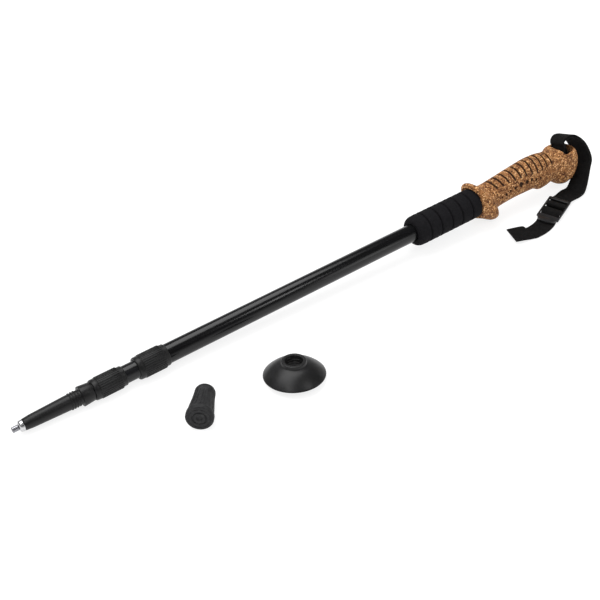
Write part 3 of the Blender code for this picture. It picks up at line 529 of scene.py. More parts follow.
def collar(name, body, start, radius, tube_radius, inner_radius, ribs):
    bore = tube_radius + 0.3
    barrel = radius - 0.42
    end = COLLAR_LENGTH
    profile = [
        (0.0, inner_radius + 0.3), (0.0, radius - 1.35), (0.3, radius - 0.95), (0.9, radius - 0.65),
        (4.2, radius - 0.45), (4.4, radius - 0.85), (5.0, radius - 0.85), (5.2, barrel),
        (end - 4.5, barrel), (end - 4.3, radius - 0.9), (end - 0.7, radius - 0.95), (end, radius - 1.35),
        (end, bore), (2.9, bore), (2.9, inner_radius + 0.3),
    ]
    shape = soften(turned([(start + x, r) for x, r in profile], closed=True), 0.12)
    fit(thing(name + "_body", shape, pole, nylon), body, name)
    top = radius - RIB_THICKNESS
    line = [(start + 5.3, 0.0, top - 0.5), (start + 5.8, 0.0, top), (start + end - 4.9, 0.0, top),
            (start + end - 4.5, 0.0, top - 0.5)]
    rounds = cook(bars, name + "_ribs", line_object(line), pole, Count=ribs,
                  Thickness=RIB_THICKNESS * MM, Look=nylon)
    fit(rounds, body)


for row in COLLARS:
    collar(*row)

# %% [markdown]
# The ferrule carries a coarse round thread, and the hub of the basket has the same thread inside. A thread
# is a round cord laid along a screw line. Its ends run out into the wall, so the cord thins there.

# %% Recipe: a screw thread
def thread_recipe():
    group, tree, size = recipe("screw_thread", [
        ("Turns", "NodeSocketFloat"), ("Radius", "NodeSocketFloat"), ("Length", "NodeSocketFloat"),
        ("Thickness", "NodeSocketFloat"), ("Look", "NodeSocketMaterial"),
    ])
    screw = tree.out("GeometryNodeCurveSpiral", {
        "Resolution": 48, "Rotations": size["Turns"], "Start Radius": size["Radius"],
        "End Radius": size["Radius"], "Height": size["Length"],
    })
    share = tree.out("GeometryNodeSplineParameter")
    taper = share.least(1.0 - share).between(0.0, 0.08, 0.25, 1.0)
    cord = tree.out("GeometryNodeSetCurveRadius", {"Curve": screw, "Radius": taper})
    section = tree.out("GeometryNodeCurvePrimitiveCircle", {"Resolution": 10, "Radius": size["Thickness"]})
    thread = tree.out("GeometryNodeCurveToMesh", {
        "Curve": cord, "Profile Curve": section, "Fill Caps": True,
    })
    along_x = (0.0, math.pi / 2, 0.0)
    turned_over = tree.out("GeometryNodeTransform", {"Geometry": thread, "Rotation": along_x})
    finish_recipe(tree, turned_over, size["Look"])
    return group


screw_thread = thread_recipe()
PITCH = 2.4
print("recipe:", screw_thread.name, "one turn every", PITCH, "mm")

# %% [markdown]
# The ferrule is pressed into the lowest tube. From the tip it widens slowly to the thread, then steps up
# to a flared collar, which stops the basket. The steel holder for the hard tip is moulded into its nose,
# with only a rounded flange showing, and the tip is a short rod with a hollow end that bites into ice.

# %% Ferrule and tip
FERRULE = (
    (10.2, 3.5), (10.2, 5.1), (17.0, 5.75), (34.0, 6.3), (50.1, 6.8), (61.9, 6.8), (61.9, 9.2),
    (72.5, 8.3), (72.5, 7.3), (65.2, 7.3), (65.2, 6.0), (95.0, 6.0), (95.0, 3.0), (31.0, 3.0),
    (31.0, 3.5),
)
HOLDER = (
    (5.8, 2.0), (5.8, 3.6), (6.2, 4.2), (6.8, 4.7), (7.6, 5.0), (9.5, 5.05), (9.9, 4.8), (9.9, 3.2),
    (29.6, 3.2), (30.0, 2.8), (30.0, 2.0),
)
ROD = (
    (1.1, 0.2), (1.0, 0.8), (0.6, 1.5), (0.0, 2.1), (0.05, 2.3), (0.3, 2.5), (5.2, 2.5), (5.5, 2.2),
    (5.5, 1.7), (14.0, 1.7),
)


def cut_thread(name, body, place, turns, radius, thickness, look):
    """A raised thread of the common pitch, laid on a wall and riding with a body of the frame."""
    ridge = cook(screw_thread, name, line_object([(0, 0, 0)]), place, Turns=turns, Radius=radius * MM,
                 Length=turns * PITCH * MM, Thickness=thickness * MM, Look=look)
    fit(ridge, body)


def ferrule():
    shape = soften(turned(FERRULE, closed=True), 0.3)
    fit(thing("ferrule_body", shape, pole, nylon), "lower_section", "tip_ferrule")
    along = pole @ Matrix.Translation((51.5, 0.0, 0.0))
    cut_thread("ferrule_thread", "lower_section", along, 3.5, 6.9, 0.62, nylon)


def tip():
    flange = soften(turned(HOLDER, 64, closed=True), 0.12)
    fit(thing("tip_flange", flange, pole, steel), "lower_section", "tip_holder")
    fit(thing("tip_rod", soften(turned(ROD, 64), 0.08), pole, hard_metal), "lower_section", "tip_bit")


ferrule()
tip()

# %% [markdown]
# The foam sleeve is slid over the tube under the grip. Its front edge is rounded and rings are pressed
# into it, where the foam dips softly between full rolls. A dip is drawn as a smooth bell, and the foam
# swells a little beside it.

# %% Foam sleeve
FOAM_START = 433.1
FOAM_END = 516.7
FOAM_RADIUS = 15.6
FOAM_GROOVES = (447.0, 461.2, 475.6, 489.6, 504.0)
DIP = 2.1
DIP_WIDTH = 0.8
SWELL = 0.18
SWELL_PLACE = 3.0
SWELL_WIDTH = 1.8
HANDLE_BORE = 9.3


def round_over(away, length, depth):
    """How far a rounded edge falls back, at a distance from its end."""
    share = min(1.0, away / length)
    return depth * (1.0 - math.sqrt(max(0.0, 1.0 - (1.0 - share) ** 2)))


def foam_radius(x):
    """Radius of the sleeve at a place along the pole."""
    radius = FOAM_RADIUS - round_over(x - FOAM_START, 6.5, 4.2) - round_over(FOAM_END - x, 1.4, 0.9)
    for groove in FOAM_GROOVES:
        away = abs(x - groove)
        radius -= DIP * math.exp(-(away / DIP_WIDTH) ** 2)
        radius += SWELL * math.exp(-((away - SWELL_PLACE) / SWELL_WIDTH) ** 2)
    return radius


def foam_sleeve():
    edge = FOAM_START + 0.8 * np.linspace(0, 1, 6) ** 2
    places = np.concatenate([edge, np.linspace(FOAM_START + 1.2, FOAM_END, 260)])
    outside = [ring(x, foam_radius(x)) for x in places]
    rings = [ring(FOAM_START, HANDLE_BORE), *outside, ring(FOAM_END, HANDLE_BORE)]
    made = thing("foam_rolls", skin(rings, closed=True), pole, foam)
    fit(made, "handle", "foam_sleeve")


foam_sleeve()

# %% [markdown]
# The grip is pressed from crushed cork and then sanded. A slanted guard stops the hand at the front, the
# palm side is arched and cut with eleven shallow grooves, a small bump fits under the fingers, and the
# head flares out. Each row has the place, the half width, how far it rises to the palm, how far it drops
# to the fingers, how much it slants, the dip in the palm and how square it is. A curve without overshoot
# joins the rows. A groove starts and ends at a turn round the grip, in degrees, where 90 is the middle of
# the palm. A dimple is a place along the grip, a height and a radius, and all are on the near side.

# %% Cork grip: sections and their curve
GRIP = np.array((
    (517.0, 16.6, 16.6, 17.6, 0.06, 0.0, 2.0),
    (519.4, 17.6, 17.4, 21.4, 0.33, 0.0, 2.1),
    (522.3, 19.4, 19.4, 25.0, 0.43, 0.0, 2.1),
    (524.2, 20.6, 21.0, 26.5, 0.46, 0.0, 2.1),
    (526.6, 21.0, 21.5, 27.0, 0.49, 0.0, 2.1),
    (529.0, 20.6, 21.0, 26.5, 0.52, 0.0, 2.1),
    (530.8, 19.4, 19.6, 25.0, 0.54, 0.0, 2.1),
    (534.0, 15.6, 15.4, 19.0, 0.56, 0.0, 2.0),
    (539.0, 13.8, 13.7, 16.6, 0.53, 0.0, 2.0),
    (556.0, 13.6, 15.6, 15.3, 0.30, 0.0, 2.0),
    (572.5, 14.0, 17.8, 14.6, 0.12, 0.0, 2.0),
    (586.0, 14.3, 19.4, 14.8, 0.04, 0.0, 2.0),
    (600.0, 14.5, 20.5, 15.4, 0.00, 0.0, 2.0),
    (606.0, 14.5, 20.3, 17.8, 0.00, 0.0, 2.0),
    (612.0, 14.5, 20.0, 20.4, 0.00, 0.0, 2.0),
    (620.0, 14.5, 18.6, 19.6, 0.00, 0.0, 2.0),
    (626.5, 14.4, 17.2, 17.4, 0.00, 0.0, 2.1),
    (631.5, 14.4, 16.8, 17.0, 0.00, 0.0, 2.2),
    (636.0, 15.4, 17.2, 20.6, 0.00, 0.8, 2.4),
    (641.0, 17.0, 18.2, 24.6, 0.00, 2.8, 2.7),
    (647.5, 17.4, 18.6, 26.2, 0.00, 4.0, 2.7),
    (654.5, 17.0, 18.0, 25.2, 0.00, 3.4, 2.6),
    (660.0, 15.7, 16.6, 22.0, 0.00, 2.2, 2.4),
    (663.8, 13.2, 13.8, 17.6, 0.00, 0.8, 2.2),
    (666.2, 9.4, 9.8, 12.0, 0.00, 0.0, 2.0),
    (667.2, 4.6, 4.8, 5.6, 0.00, 0.0, 2.0),
))
PALM_GROOVES = 547.3 + 7.6 * np.arange(11)
GROOVE_DEPTH = 1.8
GROOVE_HALF = 1.2
GROOVE_WALL = 0.5
GROOVE_FAR_END = 62.0
GROOVE_NEAR_ENDS = np.array((140, 143, 141, 144, 145, 148, 151, 154, 155, 154, 152))
GROOVE_RUN_OUT = 4.0
DIMPLES = (
    (546.5, -1.6, 1.0), (553.0, -0.5, 1.2), (560.0, 0.8, 1.2), (567.0, 1.5, 1.4), (575.5, 2.5, 2.3),
    (584.0, 2.3, 1.8), (591.0, 2.1, 1.5), (597.5, 0.0, 1.3), (604.0, -0.3, 1.0),
)
DIMPLE_DEPTH = 1.7
DIMPLE_WALL = 0.4


def grip_row(place):
    """The section at a place, on a curve through the rows that never overshoots them."""
    at = GRIP[:, 0]
    k = int(np.clip(np.searchsorted(at, place) - 1, 0, len(at) - 2))
    steps = np.diff(at)[:, None]
    slopes = np.diff(GRIP[:, 1:], axis=0) / steps

    def lean(i):
        if i in (0, len(at) - 1):
            return slopes[min(i, len(at) - 2)]
        before, after = slopes[i - 1], slopes[i]
        safe = np.where(np.abs(before + after) > 1e-9, before + after, 1.0)
        return np.where(before * after > 0.0, 2.0 * before * after / safe, 0.0)

    span = at[k + 1] - at[k]
    t = (place - at[k]) / span
    a, b = GRIP[k, 1:], GRIP[k + 1, 1:]
    return ((2 * t**3 - 3 * t**2 + 1) * a + (t**3 - 2 * t**2 + t) * span * lean(k)
            + (3 * t**2 - 2 * t**3) * b + (t**3 - t**2) * span * lean(k + 1))


def carved(x, y, z, angle):
    """How deep the palm grooves and the dimples cut, at points of the surface."""
    apart = np.abs(x[:, None] - PALM_GROOVES)
    across = np.clip((GROOVE_HALF - np.min(apart, axis=1)) / GROOVE_WALL, 0.0, 1.0)
    turn = np.degrees(angle)
    near_end = GROOVE_NEAR_ENDS[np.argmin(apart, axis=1)]
    ends = np.clip(np.minimum(turn - GROOVE_FAR_END, near_end - turn) / GROOVE_RUN_OUT, 0.0, 1.0)
    depth = GROOVE_DEPTH * across * ends
    for at, up, size in DIMPLES:
        inside = 1.25 - np.hypot(x - at, z - up) / size
        depth = np.maximum(depth, DIMPLE_DEPTH * np.clip(inside / DIMPLE_WALL, 0.0, 1.0) * (y < 0.0))
    return depth


def grip_ring(place, sides):
    width, palm, finger, slant, dip, square = grip_row(place)
    angle = np.arange(sides) * math.tau / sides
    side, rise = np.cos(angle), np.sin(angle)
    y = width * np.sign(side) * np.abs(side) ** (2.0 / square)
    z = np.where(rise > 0, palm, finger) * np.sign(rise) * np.abs(rise) ** (2.0 / square)
    middle = np.clip(1.0 - (y / 13.0) ** 2, 0.0, 1.0) ** 2
    z = z - np.where(rise > 0, dip * middle, 0.0)
    x = np.full(sides, place)
    keep = 1.0 - carved(x, y, z, angle) / np.hypot(y, z)
    return np.stack([place - slant * z, y * keep, z * keep], axis=1)


print("grip:", len(GRIP), "sections,", len(PALM_GROOVES), "palm grooves,", len(DIMPLES), "dimples")

# %% [markdown]
# The strap comes out of a slot in the head, the head is scooped out like a saddle over it, and a small
# round plug sits in a recess in the side. All are cut with cutters, as a router and a drill would. The
# lowest edge of the guard is pressed flat where it stands on the table. Last, every point notes how deep
# it is carved, and the look of the cork paints shade there from it.

# %% Cork grip: body, slot and side plug
SIDES = 160
RINGS = 330
BORE_END = 626.0
SLOT_MIDDLE = (653.3, 0.0, 10.3)
SLOT_SIZE = (16.6, 23.2, 27.4)
SLOT_CORNER = 2.6
SADDLE = ((-24.0, 10.0), (24.0, 10.0))
RECESS = ((13.0, 3.3), (19.0, 3.3))
SIDE_PLUG = ((13.3, 3.0), (14.9, 3.0), (15.3, 2.8), (15.6, 2.3), (15.8, 1.4))
saddle_place = pole @ Matrix.Translation((650.0, 0.0, 22.2)) @ turned_by(0.0, -10.0, 90.0)
plug_place = pole @ Matrix.Translation((615.0, 0.0, 0.0)) @ turned_by(0.0, -19.0, -90.0)


def cut(target, cutter):
    """Takes a cutter out of an object and throws the cutter away."""
    step = target.modifiers.new("cut", "BOOLEAN")
    step.operation = "DIFFERENCE"
    step.solver = "EXACT"
    step.object = cutter
    depsgraph = bpy.context.evaluated_depsgraph_get()
    mesh = bpy.data.meshes.new_from_object(target.evaluated_get(depsgraph))
    target.modifiers.remove(step)
    target.data = mesh
    bpy.data.objects.remove(cutter)


def slot_cutter():
    shape = bmesh.new()
    bmesh.ops.create_cube(shape, size=1.0)
    shape.transform(Matrix.Translation(SLOT_MIDDLE) @ Matrix.Diagonal((*SLOT_SIZE, 1.0)))
    upright = [e for e in shape.edges if abs(e.verts[0].co.z - e.verts[1].co.z) > 1.0]
    bmesh.ops.bevel(shape, geom=upright, offset=SLOT_CORNER, segments=6, affect="EDGES", profile=0.5)
    return thing("slot_cutter", shape, pole, cork)


def note_carving(mesh):
    """Keeps at every point how deep it lies in a groove or a dimple, as a share of a groove's depth."""
    inverse = pole.inverted()
    x, y, z = np.array([inverse @ (corner.co / MM) for corner in mesh.vertices]).T
    place = x
    for _ in range(4):
        place = x + np.interp(place, GRIP[:, 0], GRIP[:, 4]) * z
    depth = carved(place, y, z, np.arctan2(z, y))
    note = mesh.attributes.new("carved", "FLOAT", "POINT")
    note.data.foreach_set("value", (depth / GROOVE_DEPTH).astype(np.float32))


def cork_grip():
    start, end = GRIP[0, 0], GRIP[-1, 0]
    floor = GROOVE_HALF - GROOVE_WALL
    walls = [PALM_GROOVES + off for off in (-GROOVE_HALF, -floor, 0.0, floor, GROOVE_HALF)]
    places = np.unique(np.concatenate([np.linspace(start, end, RINGS), GRIP[:, 0], *walls]))
    bore = [ring(x, HANDLE_BORE, SIDES) for x in (BORE_END, start)]
    made = thing("carved_cork_grip", skin([*bore, *[grip_ring(x, SIDES) for x in places]]), pole, cork)
    cut(made, slot_cutter())
    cut(made, thing("saddle_cutter", turned(SADDLE), saddle_place, cork))
    cut(made, thing("recess", turned(RECESS, 48), plug_place, cork))
    for corner in made.data.vertices:
        corner.co.z = max(corner.co.z, 0.0)
    note_carving(made.data)
    made.data.shade_smooth()
    made.data.set_sharp_from_angle(angle=math.radians(40.0))
    fit(made, "handle", "cork_grip")


cork_grip()
side_plug = thing("cork_side_plug", soften(turned(SIDE_PLUG, 48), 0.1), plug_place, cork)
fit(side_plug, "handle", "grip_side_plug")

# %% [markdown]
# A steel pin crosses the slot in the head, and the strap goes round it.

# %% Strap pin
PIN_MIDDLE = Vector((650.6, 0.0, 5.0))
PIN_RADIUS = 2.0
PIN_REACH = 14.6
across_pole = pole @ Matrix.Translation(PIN_MIDDLE) @ turned_by(z=90.0)
pin_shape = turned([(-PIN_REACH, PIN_RADIUS), (PIN_REACH, PIN_RADIUS)], 48)
fit(thing("strap_pin_round", soften(pin_shape, 0.3), across_pole, steel), "handle", "strap_pin")

# %% [markdown]
# The wrist strap is one strip of webbing, 20 mm wide and 1.3 mm thick. It starts sewn round a bar of the
# buckle, climbs to the head, turns round the pin and comes back beside itself, weaves through the buckle
# and ends in a free tail on the table. Its path is a list of stations: a point on the middle of the strip
# and the direction of its width. Where two layers run together, a station is the middle between them.
# In the buckle a station is a place along the buckle and a height.

# %% Wrist strap: stations
STRAP_WIDTH = 20.0
WEBBING = 1.3
LAYER = 0.95
PIN_SLACK = 0.5
OVER_PIN = 3.8
DOUBLE = (
    ((648.6, 3.9, 46.0), (0.04, 0.98, -0.18)),
    ((648.1, 6.0, 49.6), (0.11, 0.97, -0.21)),
    ((649.8, 7.0, 52.8), (0.14, 0.96, -0.25)),
    ((654.0, 6.8, 54.8), (0.14, 0.95, -0.29)),
    ((662.4, 4.9, 54.0), (0.10, 0.92, -0.38)),
    ((669.0, 1.4, 48.6), (-0.02, 0.89, -0.46)),
    ((674.0, -2.3, 41.6), (-0.12, 0.84, -0.52)),
    ((677.0, -6.8, 34.0), (-0.10, 0.85, -0.52)),
    ((677.2, -11.6, 26.2), (-0.07, 0.87, -0.49)),
    ((672.0, -15.2, 19.4), (-0.09, 0.90, -0.44)),
    ((665.0, -19.4, 12.4), (-0.28, 0.89, -0.36)),
    ((658.2, -23.2, 6.4), (-0.52, 0.82, -0.22)),
    ((653.0, -25.6, 3.4), (-0.66, 0.75, -0.05)),
    ((646.5, -27.0, 2.7), (-0.40, 0.92, 0.0)),
    ((637.0, -27.8, 3.2), (-0.18, 0.98, 0.0)),
)
TAIL = (
    ((577.4, -49.2, 1.3), (-0.30, 0.95, 0.0)),
    ((567.0, -51.6, 1.0), (-0.12, 0.99, 0.0)),
    ((555.0, -52.2, 1.1), (0.14, 0.99, 0.0)),
    ((548.4, -51.1, 3.2), (0.17, 0.97, 0.20)),
    ((538.0, -49.3, 4.8), (0.16, 0.97, 0.18)),
    ((529.0, -47.3, 5.5), (0.15, 0.97, 0.15)),
)
FIRST_LOOP = (
    (9.8, -2.4), (6.5, -2.4), (4.6, -2.2), (3.9, -1.0), (3.9, 1.0), (4.6, 2.2), (6.5, 2.4),
    (8.4, 2.25), (10.2, 1.1), (12.0, -0.8), (13.6, -2.2), (15.5, -2.45), (18.5, -2.5), (22.0, -2.5),
)
WEAVE = (
    (22.0, -4.2), (16.0, -4.2), (9.0, -4.15), (4.0, -3.95), (1.0, -2.6), (-1.2, 0.2), (-2.6, 2.1),
    (-5.0, 2.45), (-7.4, 2.15), (-9.4, 0.4), (-11.2, -1.6), (-13.0, -2.45), (-16.0, -2.6), (-19.5, -2.7),
)
buckle_place = Matrix.Translation((601.6, -39.3, 5.5)) @ turned_by(0.0, -6.0, 20.8)
pole_on_table = table.inverted() @ pole


def stations():
    """The whole strip as centres and width directions, in order from the sewn end to the tail."""
    side = buckle_place.to_3x3() @ Vector((0.0, 1.0, 0.0))
    centres = [Vector(point) for point, across in DOUBLE]
    widths = [Vector(across).normalized() for point, across in DOUBLE]
    outer, inner = [], []
    for i, (centre, across) in enumerate(zip(centres, widths)):
        ahead = centres[min(i + 1, len(centres) - 1)] - centres[max(i - 1, 0)]
        away = across.cross(ahead).normalized() * LAYER
        outer.append((centre - away, across))
        inner.append((centre + away, across))
    reach = PIN_RADIUS + PIN_SLACK + WEBBING / 2
    turn = [(-reach + 0.3, OVER_PIN)]
    turn += [(reach * math.cos(a), reach * math.sin(a)) for a in np.radians((-180, -135, -90, -45, 0))]
    turn.append((reach - 0.3, OVER_PIN))
    turn = [(pole_on_table @ (PIN_MIDDLE + Vector((x, 0.4, z))), widths[0]) for x, z in turn]
    first = [(buckle_place @ Vector((x, 0.0, z)), side) for x, z in FIRST_LOOP]
    weave = [(buckle_place @ Vector((x, 0.0, z)), side) for x, z in WEAVE]
    tail = [(Vector(point), Vector(across).normalized()) for point, across in TAIL]
    return first + outer[::-1] + turn + inner + weave + tail


def smooth_path(points, steps):
    """A smooth curve through points."""
    points = np.array([tuple(p) for p in points])
    padded = np.vstack([2 * points[0] - points[1], points, 2 * points[-1] - points[-2]])
    t = (np.arange(steps) / steps)[:, None]
    made = []
    for before, start, end, after in zip(padded, padded[1:], padded[2:], padded[3:]):
        bend = 2 * before - 5 * start + 4 * end - after
        twist = 3 * start - before - 3 * end + after
        made.append(0.5 * (2 * start + (end - before) * t + bend * t**2 + twist * t**3))
    return np.vstack([*made, points[-1]])


path = stations()
print("strap:", len(path), "stations")

# %% [markdown]
# The strip gets a section with rounded edges. Every corner of the mesh also remembers how far along and
# how far across the strip it lies, so that the weave follows the strap round every bend.

# %% Wrist strap: body
def strip_section(width, thickness, columns=8):
    """Points round the section, with their distance across the strip."""
    half, edge = width / 2, thickness / 2
    flat = np.linspace(-half + edge, half - edge, columns)
    bow = np.radians((-54, -18, 18, 54))
    right = [(half - edge + edge * math.cos(a), edge * math.sin(a)) for a in bow]
    left = [(-half + edge - edge * math.cos(a), -edge * math.sin(a)) for a in bow]
    bottom = [(v, -edge) for v in flat]
    top = [(v, edge) for v in flat[::-1]]
    return bottom + right + top + left


def wrist_strap(steps=6):
    centres = smooth_path([p for p, across in path], steps)
    widths = smooth_path([across for p, across in path], steps)
    section = strip_section(STRAP_WIDTH, WEBBING)
    ahead = np.gradient(centres, axis=0)
    ahead /= np.linalg.norm(ahead, axis=1)[:, None]
    up = np.cross(widths, ahead)
    up /= np.linalg.norm(up, axis=1)[:, None]
    side = np.cross(ahead, up)
    far = np.concatenate([[0.0], np.cumsum(np.linalg.norm(np.diff(centres, axis=0), axis=1))])
    rings = [c + np.array([v * s + h * u for v, h in section]) for c, s, u in zip(centres, side, up)]
    made = thing("woven_strap", skin(rings), table, webbing)
    spots = [(d * MM, v * MM) for d in far for v, h in section]
    strip = made.data.uv_layers.new(name="strip")
    for loop in made.data.loops:
        strip.data[loop.index].uv = spots[loop.vertex_index]
    print("webbing length", round(far[-1]), "mm")
    fit(made, "handle", "wrist_strap")


wrist_strap()

# %% [markdown]
# The buckle is a flat frame with four bars. The sewn end goes round the second bar, the free end goes over
# the third and under the front one, and the front bar runs out in a rounded lip that a thumb lifts to
# slacken the strap. All its edges are rounded.

# %% Strap buckle
BARS = ((18.2, 14.8), (8.0, 5.0), (-3.4, -6.8), (-13.4, -18.2))
HALF_WIDTH = 12.0
RAIL = 1.6
THICKNESS = 2.8
LIP_REACH = 8.6
LIP_RISE = 1.6
LIP_STEPS = 26


def buckle():
    rows = [edge for bar in BARS for edge in bar]
    inner = HALF_WIDTH - RAIL
    columns = (-HALF_WIDTH, -inner, inner, HALF_WIDTH)
    shape = bmesh.new()
    grid = [[shape.verts.new((x, y, 0.0)) for y in columns] for x in rows]
    for i in range(len(rows) - 1):
        for j in range(3):
            if not (i % 2 == 1 and j == 1):
                shape.faces.new((grid[i][j], grid[i][j + 1], grid[i + 1][j + 1], grid[i + 1][j]))
    arc = []
    for turn in np.linspace(0.0, math.pi, LIP_STEPS)[1:-1]:
        out = math.sin(turn)
        spot = (rows[-1] - LIP_REACH * out, -inner * math.cos(turn), LIP_RISE * out**1.3)
        arc.append(shape.verts.new(spot))
    fan = [grid[-1][1], *arc, grid[-1][2]]
    middle = shape.verts.new((rows[-1] - 0.2, 0.0, 0.15))
    for first, second in zip(fan, fan[1:]):
        shape.faces.new((middle, first, second))
    shape.faces.new((middle, grid[-1][2], grid[-1][1]))
    bmesh.ops.recalc_face_normals(shape, faces=shape.faces)
    raised = bmesh.ops.extrude_face_region(shape, geom=list(shape.faces))["geom"]
    top = [v for v in raised if isinstance(v, bmesh.types.BMVert)]
    bmesh.ops.translate(shape, vec=(0, 0, THICKNESS), verts=top)
    bmesh.ops.translate(shape, vec=(0, 0, -THICKNESS / 2), verts=shape.verts)
    bmesh.ops.recalc_face_normals(shape, faces=shape.faces)
    soften(shape, 0.5, 40.0)
    fit(thing("ladder_buckle", shape, table @ buckle_place, buckle_nylon), "handle", "strap_buckle")


buckle()

# %% [markdown]
# The basket is a round dome about a threaded hub. It keeps the pole from sinking into soft ground. It is
# turned like the rest, from pairs of radius and height, and lies a little tilted, on its rim and the foot
# of its hub.

# %% Basket
DOME = (
    (8.2, 14.8), (10.5, 14.8), (10.85, 14.65), (11.0, 14.3), (11.0, 12.2), (11.25, 11.75), (11.9, 11.4),
    (14.2, 10.6), (16.8, 9.4), (19.8, 7.6), (22.6, 5.5), (24.7, 3.75), (26.4, 2.2), (27.2, 1.35),
    (27.7, 0.7), (27.65, 0.25), (27.3, 0.0), (25.8, 0.0), (24.7, 0.9), (23.3, 2.2), (21.6, 3.6),
    (18.9, 5.6), (16.2, 7.3), (13.4, 8.6), (10.8, 9.5), (10.6, -2.05), (8.2, -2.05), (7.9, -1.4),
    (7.9, 14.2),
)
UPRIGHT = turned_by(0.0, -90.0, 0.0)
basket_place = table @ Matrix.Translation((225.4, -80.6, 3.35)) @ turned_by(0.0, 6.9, 74.2) @ UPRIGHT


def basket():
    shape = soften(turned([(height, radius) for radius, height in DOME], 180, closed=True), 0.2, 35.0)
    fit(thing("domed_basket", shape, basket_place, basket_nylon), "loose_basket", "basket")
    inside = basket_place @ Matrix.Translation((0.6, 0.0, 0.0))
    cut_thread("hub_thread", "loose_basket", inside, 5.0, 8.0, 0.6, basket_nylon)


basket()

# %% [markdown]
# The rubber cap goes over the tip on roads. It is a bell with a thick ringed sole, flutes down its sides
# and a smooth rolled mouth. The flutes are the same bars as on the collars, bent along the bell's side.
# A steel washer at the bottom of its socket takes the point of the tip.

# %% Rubber cap
CAP = (
    (1.0, 0.3), (1.0, 2.2), (0.0, 2.8), (0.0, 5.0), (0.8, 5.3), (0.8, 6.2), (0.0, 6.5), (0.0, 8.6),
    (0.35, 8.9), (0.35, 9.3), (0.0, 9.6), (0.0, 11.2), (0.25, 11.7), (0.9, 12.0), (4.2, 12.0),
    (4.9, 11.85), (5.5, 11.4), (6.4, 10.95), (8.5, 10.65), (12.0, 10.25), (16.0, 9.75), (21.0, 9.15),
    (26.0, 8.75), (29.4, 8.62), (30.0, 8.9), (30.8, 9.08), (33.0, 9.08), (34.6, 8.9), (35.9, 8.35),
    (36.7, 7.7), (37.0, 7.0), (36.8, 6.5), (35.5, 6.25), (14.0, 5.5), (11.0, 5.4),
)
WASHER = ((11.3, 1.6), (11.3, 5.0), (12.8, 5.0), (12.8, 1.6))
FLUTES = 16
FLUTE = (
    (6.6, 10.45), (8.5, 10.4), (12.0, 10.05), (16.0, 9.6), (21.0, 9.02), (26.0, 8.62), (28.8, 8.5),
    (29.6, 8.2),
)
cap_place = table @ Matrix.Translation((125.6, -84.8, 12.35)) @ turned_by(0.0, 4.8, 49.4)


def rubber_cap():
    shape = soften(turned(CAP, 128), 0.12, 40.0)
    fit(thing("ribbed_rubber_cap", shape, cap_place, rubber), "loose_cap", "rubber_cap")
    line = [(x, 0.0, r) for x, r in FLUTE]
    flutes = cook(bars, "cap_flutes", line_object(line), cap_place, Count=FLUTES, Thickness=0.75 * MM,
                  Look=rubber)
    fit(flutes, "loose_cap")
    washer = thing("steel_washer", soften(turned(WASHER, 64, closed=True), 0.15), cap_place, steel)
    fit(washer, "loose_cap", "cap_washer")


rubber_cap()

# %% [markdown]
# The locks inside the tubes are never seen, and stay as they are in the frame. They only get the looks of
# what they are made of: grey nylon plugs, sleeves and cones, steel studs and nuts.

# %% Inner pieces
HIDDEN = {
    grey_nylon: ("middle_plug", "lower_plug", "middle_expander_sleeve", "lower_expander_sleeve",
                 "middle_expander_cone", "lower_expander_cone", "tube_end_plug"),
    steel: ("middle_stud", "lower_stud", "middle_stop_nut", "lower_stop_nut"),
}
for look, names in HIDDEN.items():
    for name in names:
        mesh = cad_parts[name].data
        mesh.materials.clear()
        mesh.materials.append(look)
print("inner pieces painted:", sum(len(names) for names in HIDDEN.values()))

# %% [markdown]
# The table is pale and the light comes from all sides, so the shadows are soft and lie close to the
# pieces. A broad lamp hangs overhead, a little behind the pole. Three small ones put the stripe on the
# tubes and the soft marks on the basket. What shiny pieces mirror is kept darker than what lights them, as
# black cards do in a studio. The camera looks down on the pole from beside its tip.

# %% Table, light and camera
BASKET_SPOT = (-0.11, -0.04, 0.0)
LAMPS = (
    ("overhead", (-0.15, 0.55, 1.5), (0.0, 0.0, 0.0), (1.8, 1.2), 26.0),
    ("stripe", (0.62, -0.95, 0.38), (-0.2, 0.04, 0.01), (0.35, 0.5), 0.9),
    ("left_mark", (-0.75, -0.30, 1.0), BASKET_SPOT, (0.3, 0.3), 1.6),
    ("right_mark", (0.25, -0.70, 1.0), BASKET_SPOT, (0.3, 0.3), 1.6),
)
TABLE_HALF = 6000.0
TABLE_DROP = 0.2
CAMERA_PLACE = (-0.5103, -0.5683, 0.6013)
CAMERA_TILT = 52.062
CAMERA_HEADING = -37.105
CAMERA_LENS = 61.58


def lamp(name, place, aim, size, power):
    data = bpy.data.lights.new(name, "AREA")
    data.shape = "RECTANGLE"
    data.size, data.size_y = size
    data.energy = power
    made = bpy.data.objects.new(name, data)
    made.location = place
    made.rotation_euler = (Vector(aim) - Vector(place)).to_track_quat("-Z", "Y").to_euler()
    bpy.context.collection.objects.link(made)


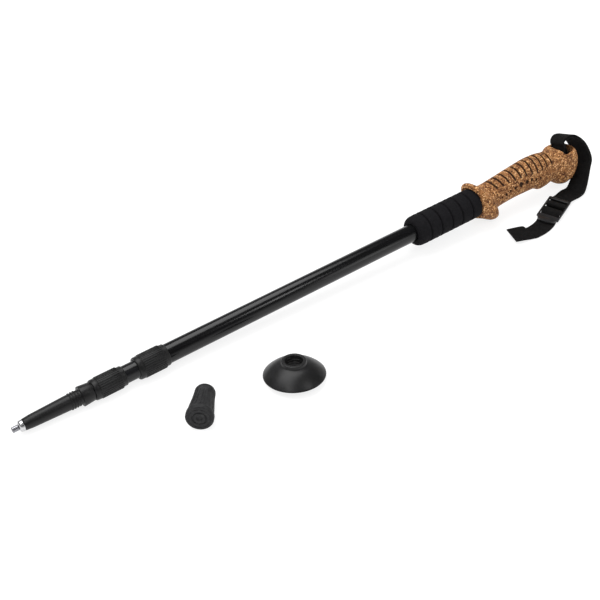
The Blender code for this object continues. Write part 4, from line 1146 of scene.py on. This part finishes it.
def table_top():
    """Seen or mirrored it is white but for the shadows on it; it lights the pieces as a pale table."""
    look = Look("pale_table", Roughness=0.9, Specular_IOR_Level=0.0, Emission_Strength=1.0)
    ray = look.node("ShaderNodeLightPath")
    seen = Number(look, ray.outputs["Is Camera Ray"]).most(Number(look, ray.outputs["Is Glossy Ray"]))
    fine = look.noise(0.01, 2.0)
    pale = look.mix(fine, (0.88, 0.88, 0.88), (0.90, 0.90, 0.90))
    colour = look.mix(seen, pale, (0.28, 0.28, 0.28))
    glow = look.mix(seen, (0.0, 0.0, 0.0), (0.80, 0.80, 0.80))
    shape = bmesh.new()
    bmesh.ops.create_grid(shape, x_segments=1, y_segments=1, size=TABLE_HALF)
    finish = look.paint(Base_Color=colour, Emission_Color=glow)
    thing("table_top", shape, Matrix.Translation((0.0, 0.0, -TABLE_DROP)), finish)


def surroundings():
    """A white room; what mirrors it sees a pale horizon and a dark ceiling."""
    world = bpy.data.worlds.new("studio")
    bpy.context.scene.world = world
    world.use_nodes = True
    tree = Tree(world.node_tree.nodes, world.node_tree.links)
    ray = tree.node("ShaderNodeLightPath")
    seen = Number(tree, ray.outputs["Is Camera Ray"])
    mirrored = Number(tree, ray.outputs["Is Glossy Ray"])
    towards = tree.out("ShaderNodeTexCoord", output="Generated")
    height = tree.out("ShaderNodeSeparateXYZ", {0: towards}, "Z")
    strength = seen.most(mirrored * height.between(0.05, 0.45, 0.9, 0.06)).most((1.0 - mirrored) * 0.62)
    tree.plug(world.node_tree.nodes["Background"].inputs["Strength"], strength)
    world.node_tree.nodes["Background"].inputs["Color"].default_value = (1.0, 1.0, 1.0, 1.0)


table_top()
surroundings()
for row in LAMPS:
    lamp(*row)

camera = bpy.data.objects.new("camera", bpy.data.cameras.new("camera"))
camera.location = CAMERA_PLACE
camera.rotation_euler = (math.radians(CAMERA_TILT), 0.0, math.radians(CAMERA_HEADING))
camera.data.lens = CAMERA_LENS
camera.data.sensor_width = 36.0
bpy.context.collection.objects.link(camera)
bpy.context.scene.camera = camera
bpy.context.scene.view_settings.view_transform = "Standard"
print("lamps:", len(LAMPS), "and a camera at", CAMERA_PLACE)
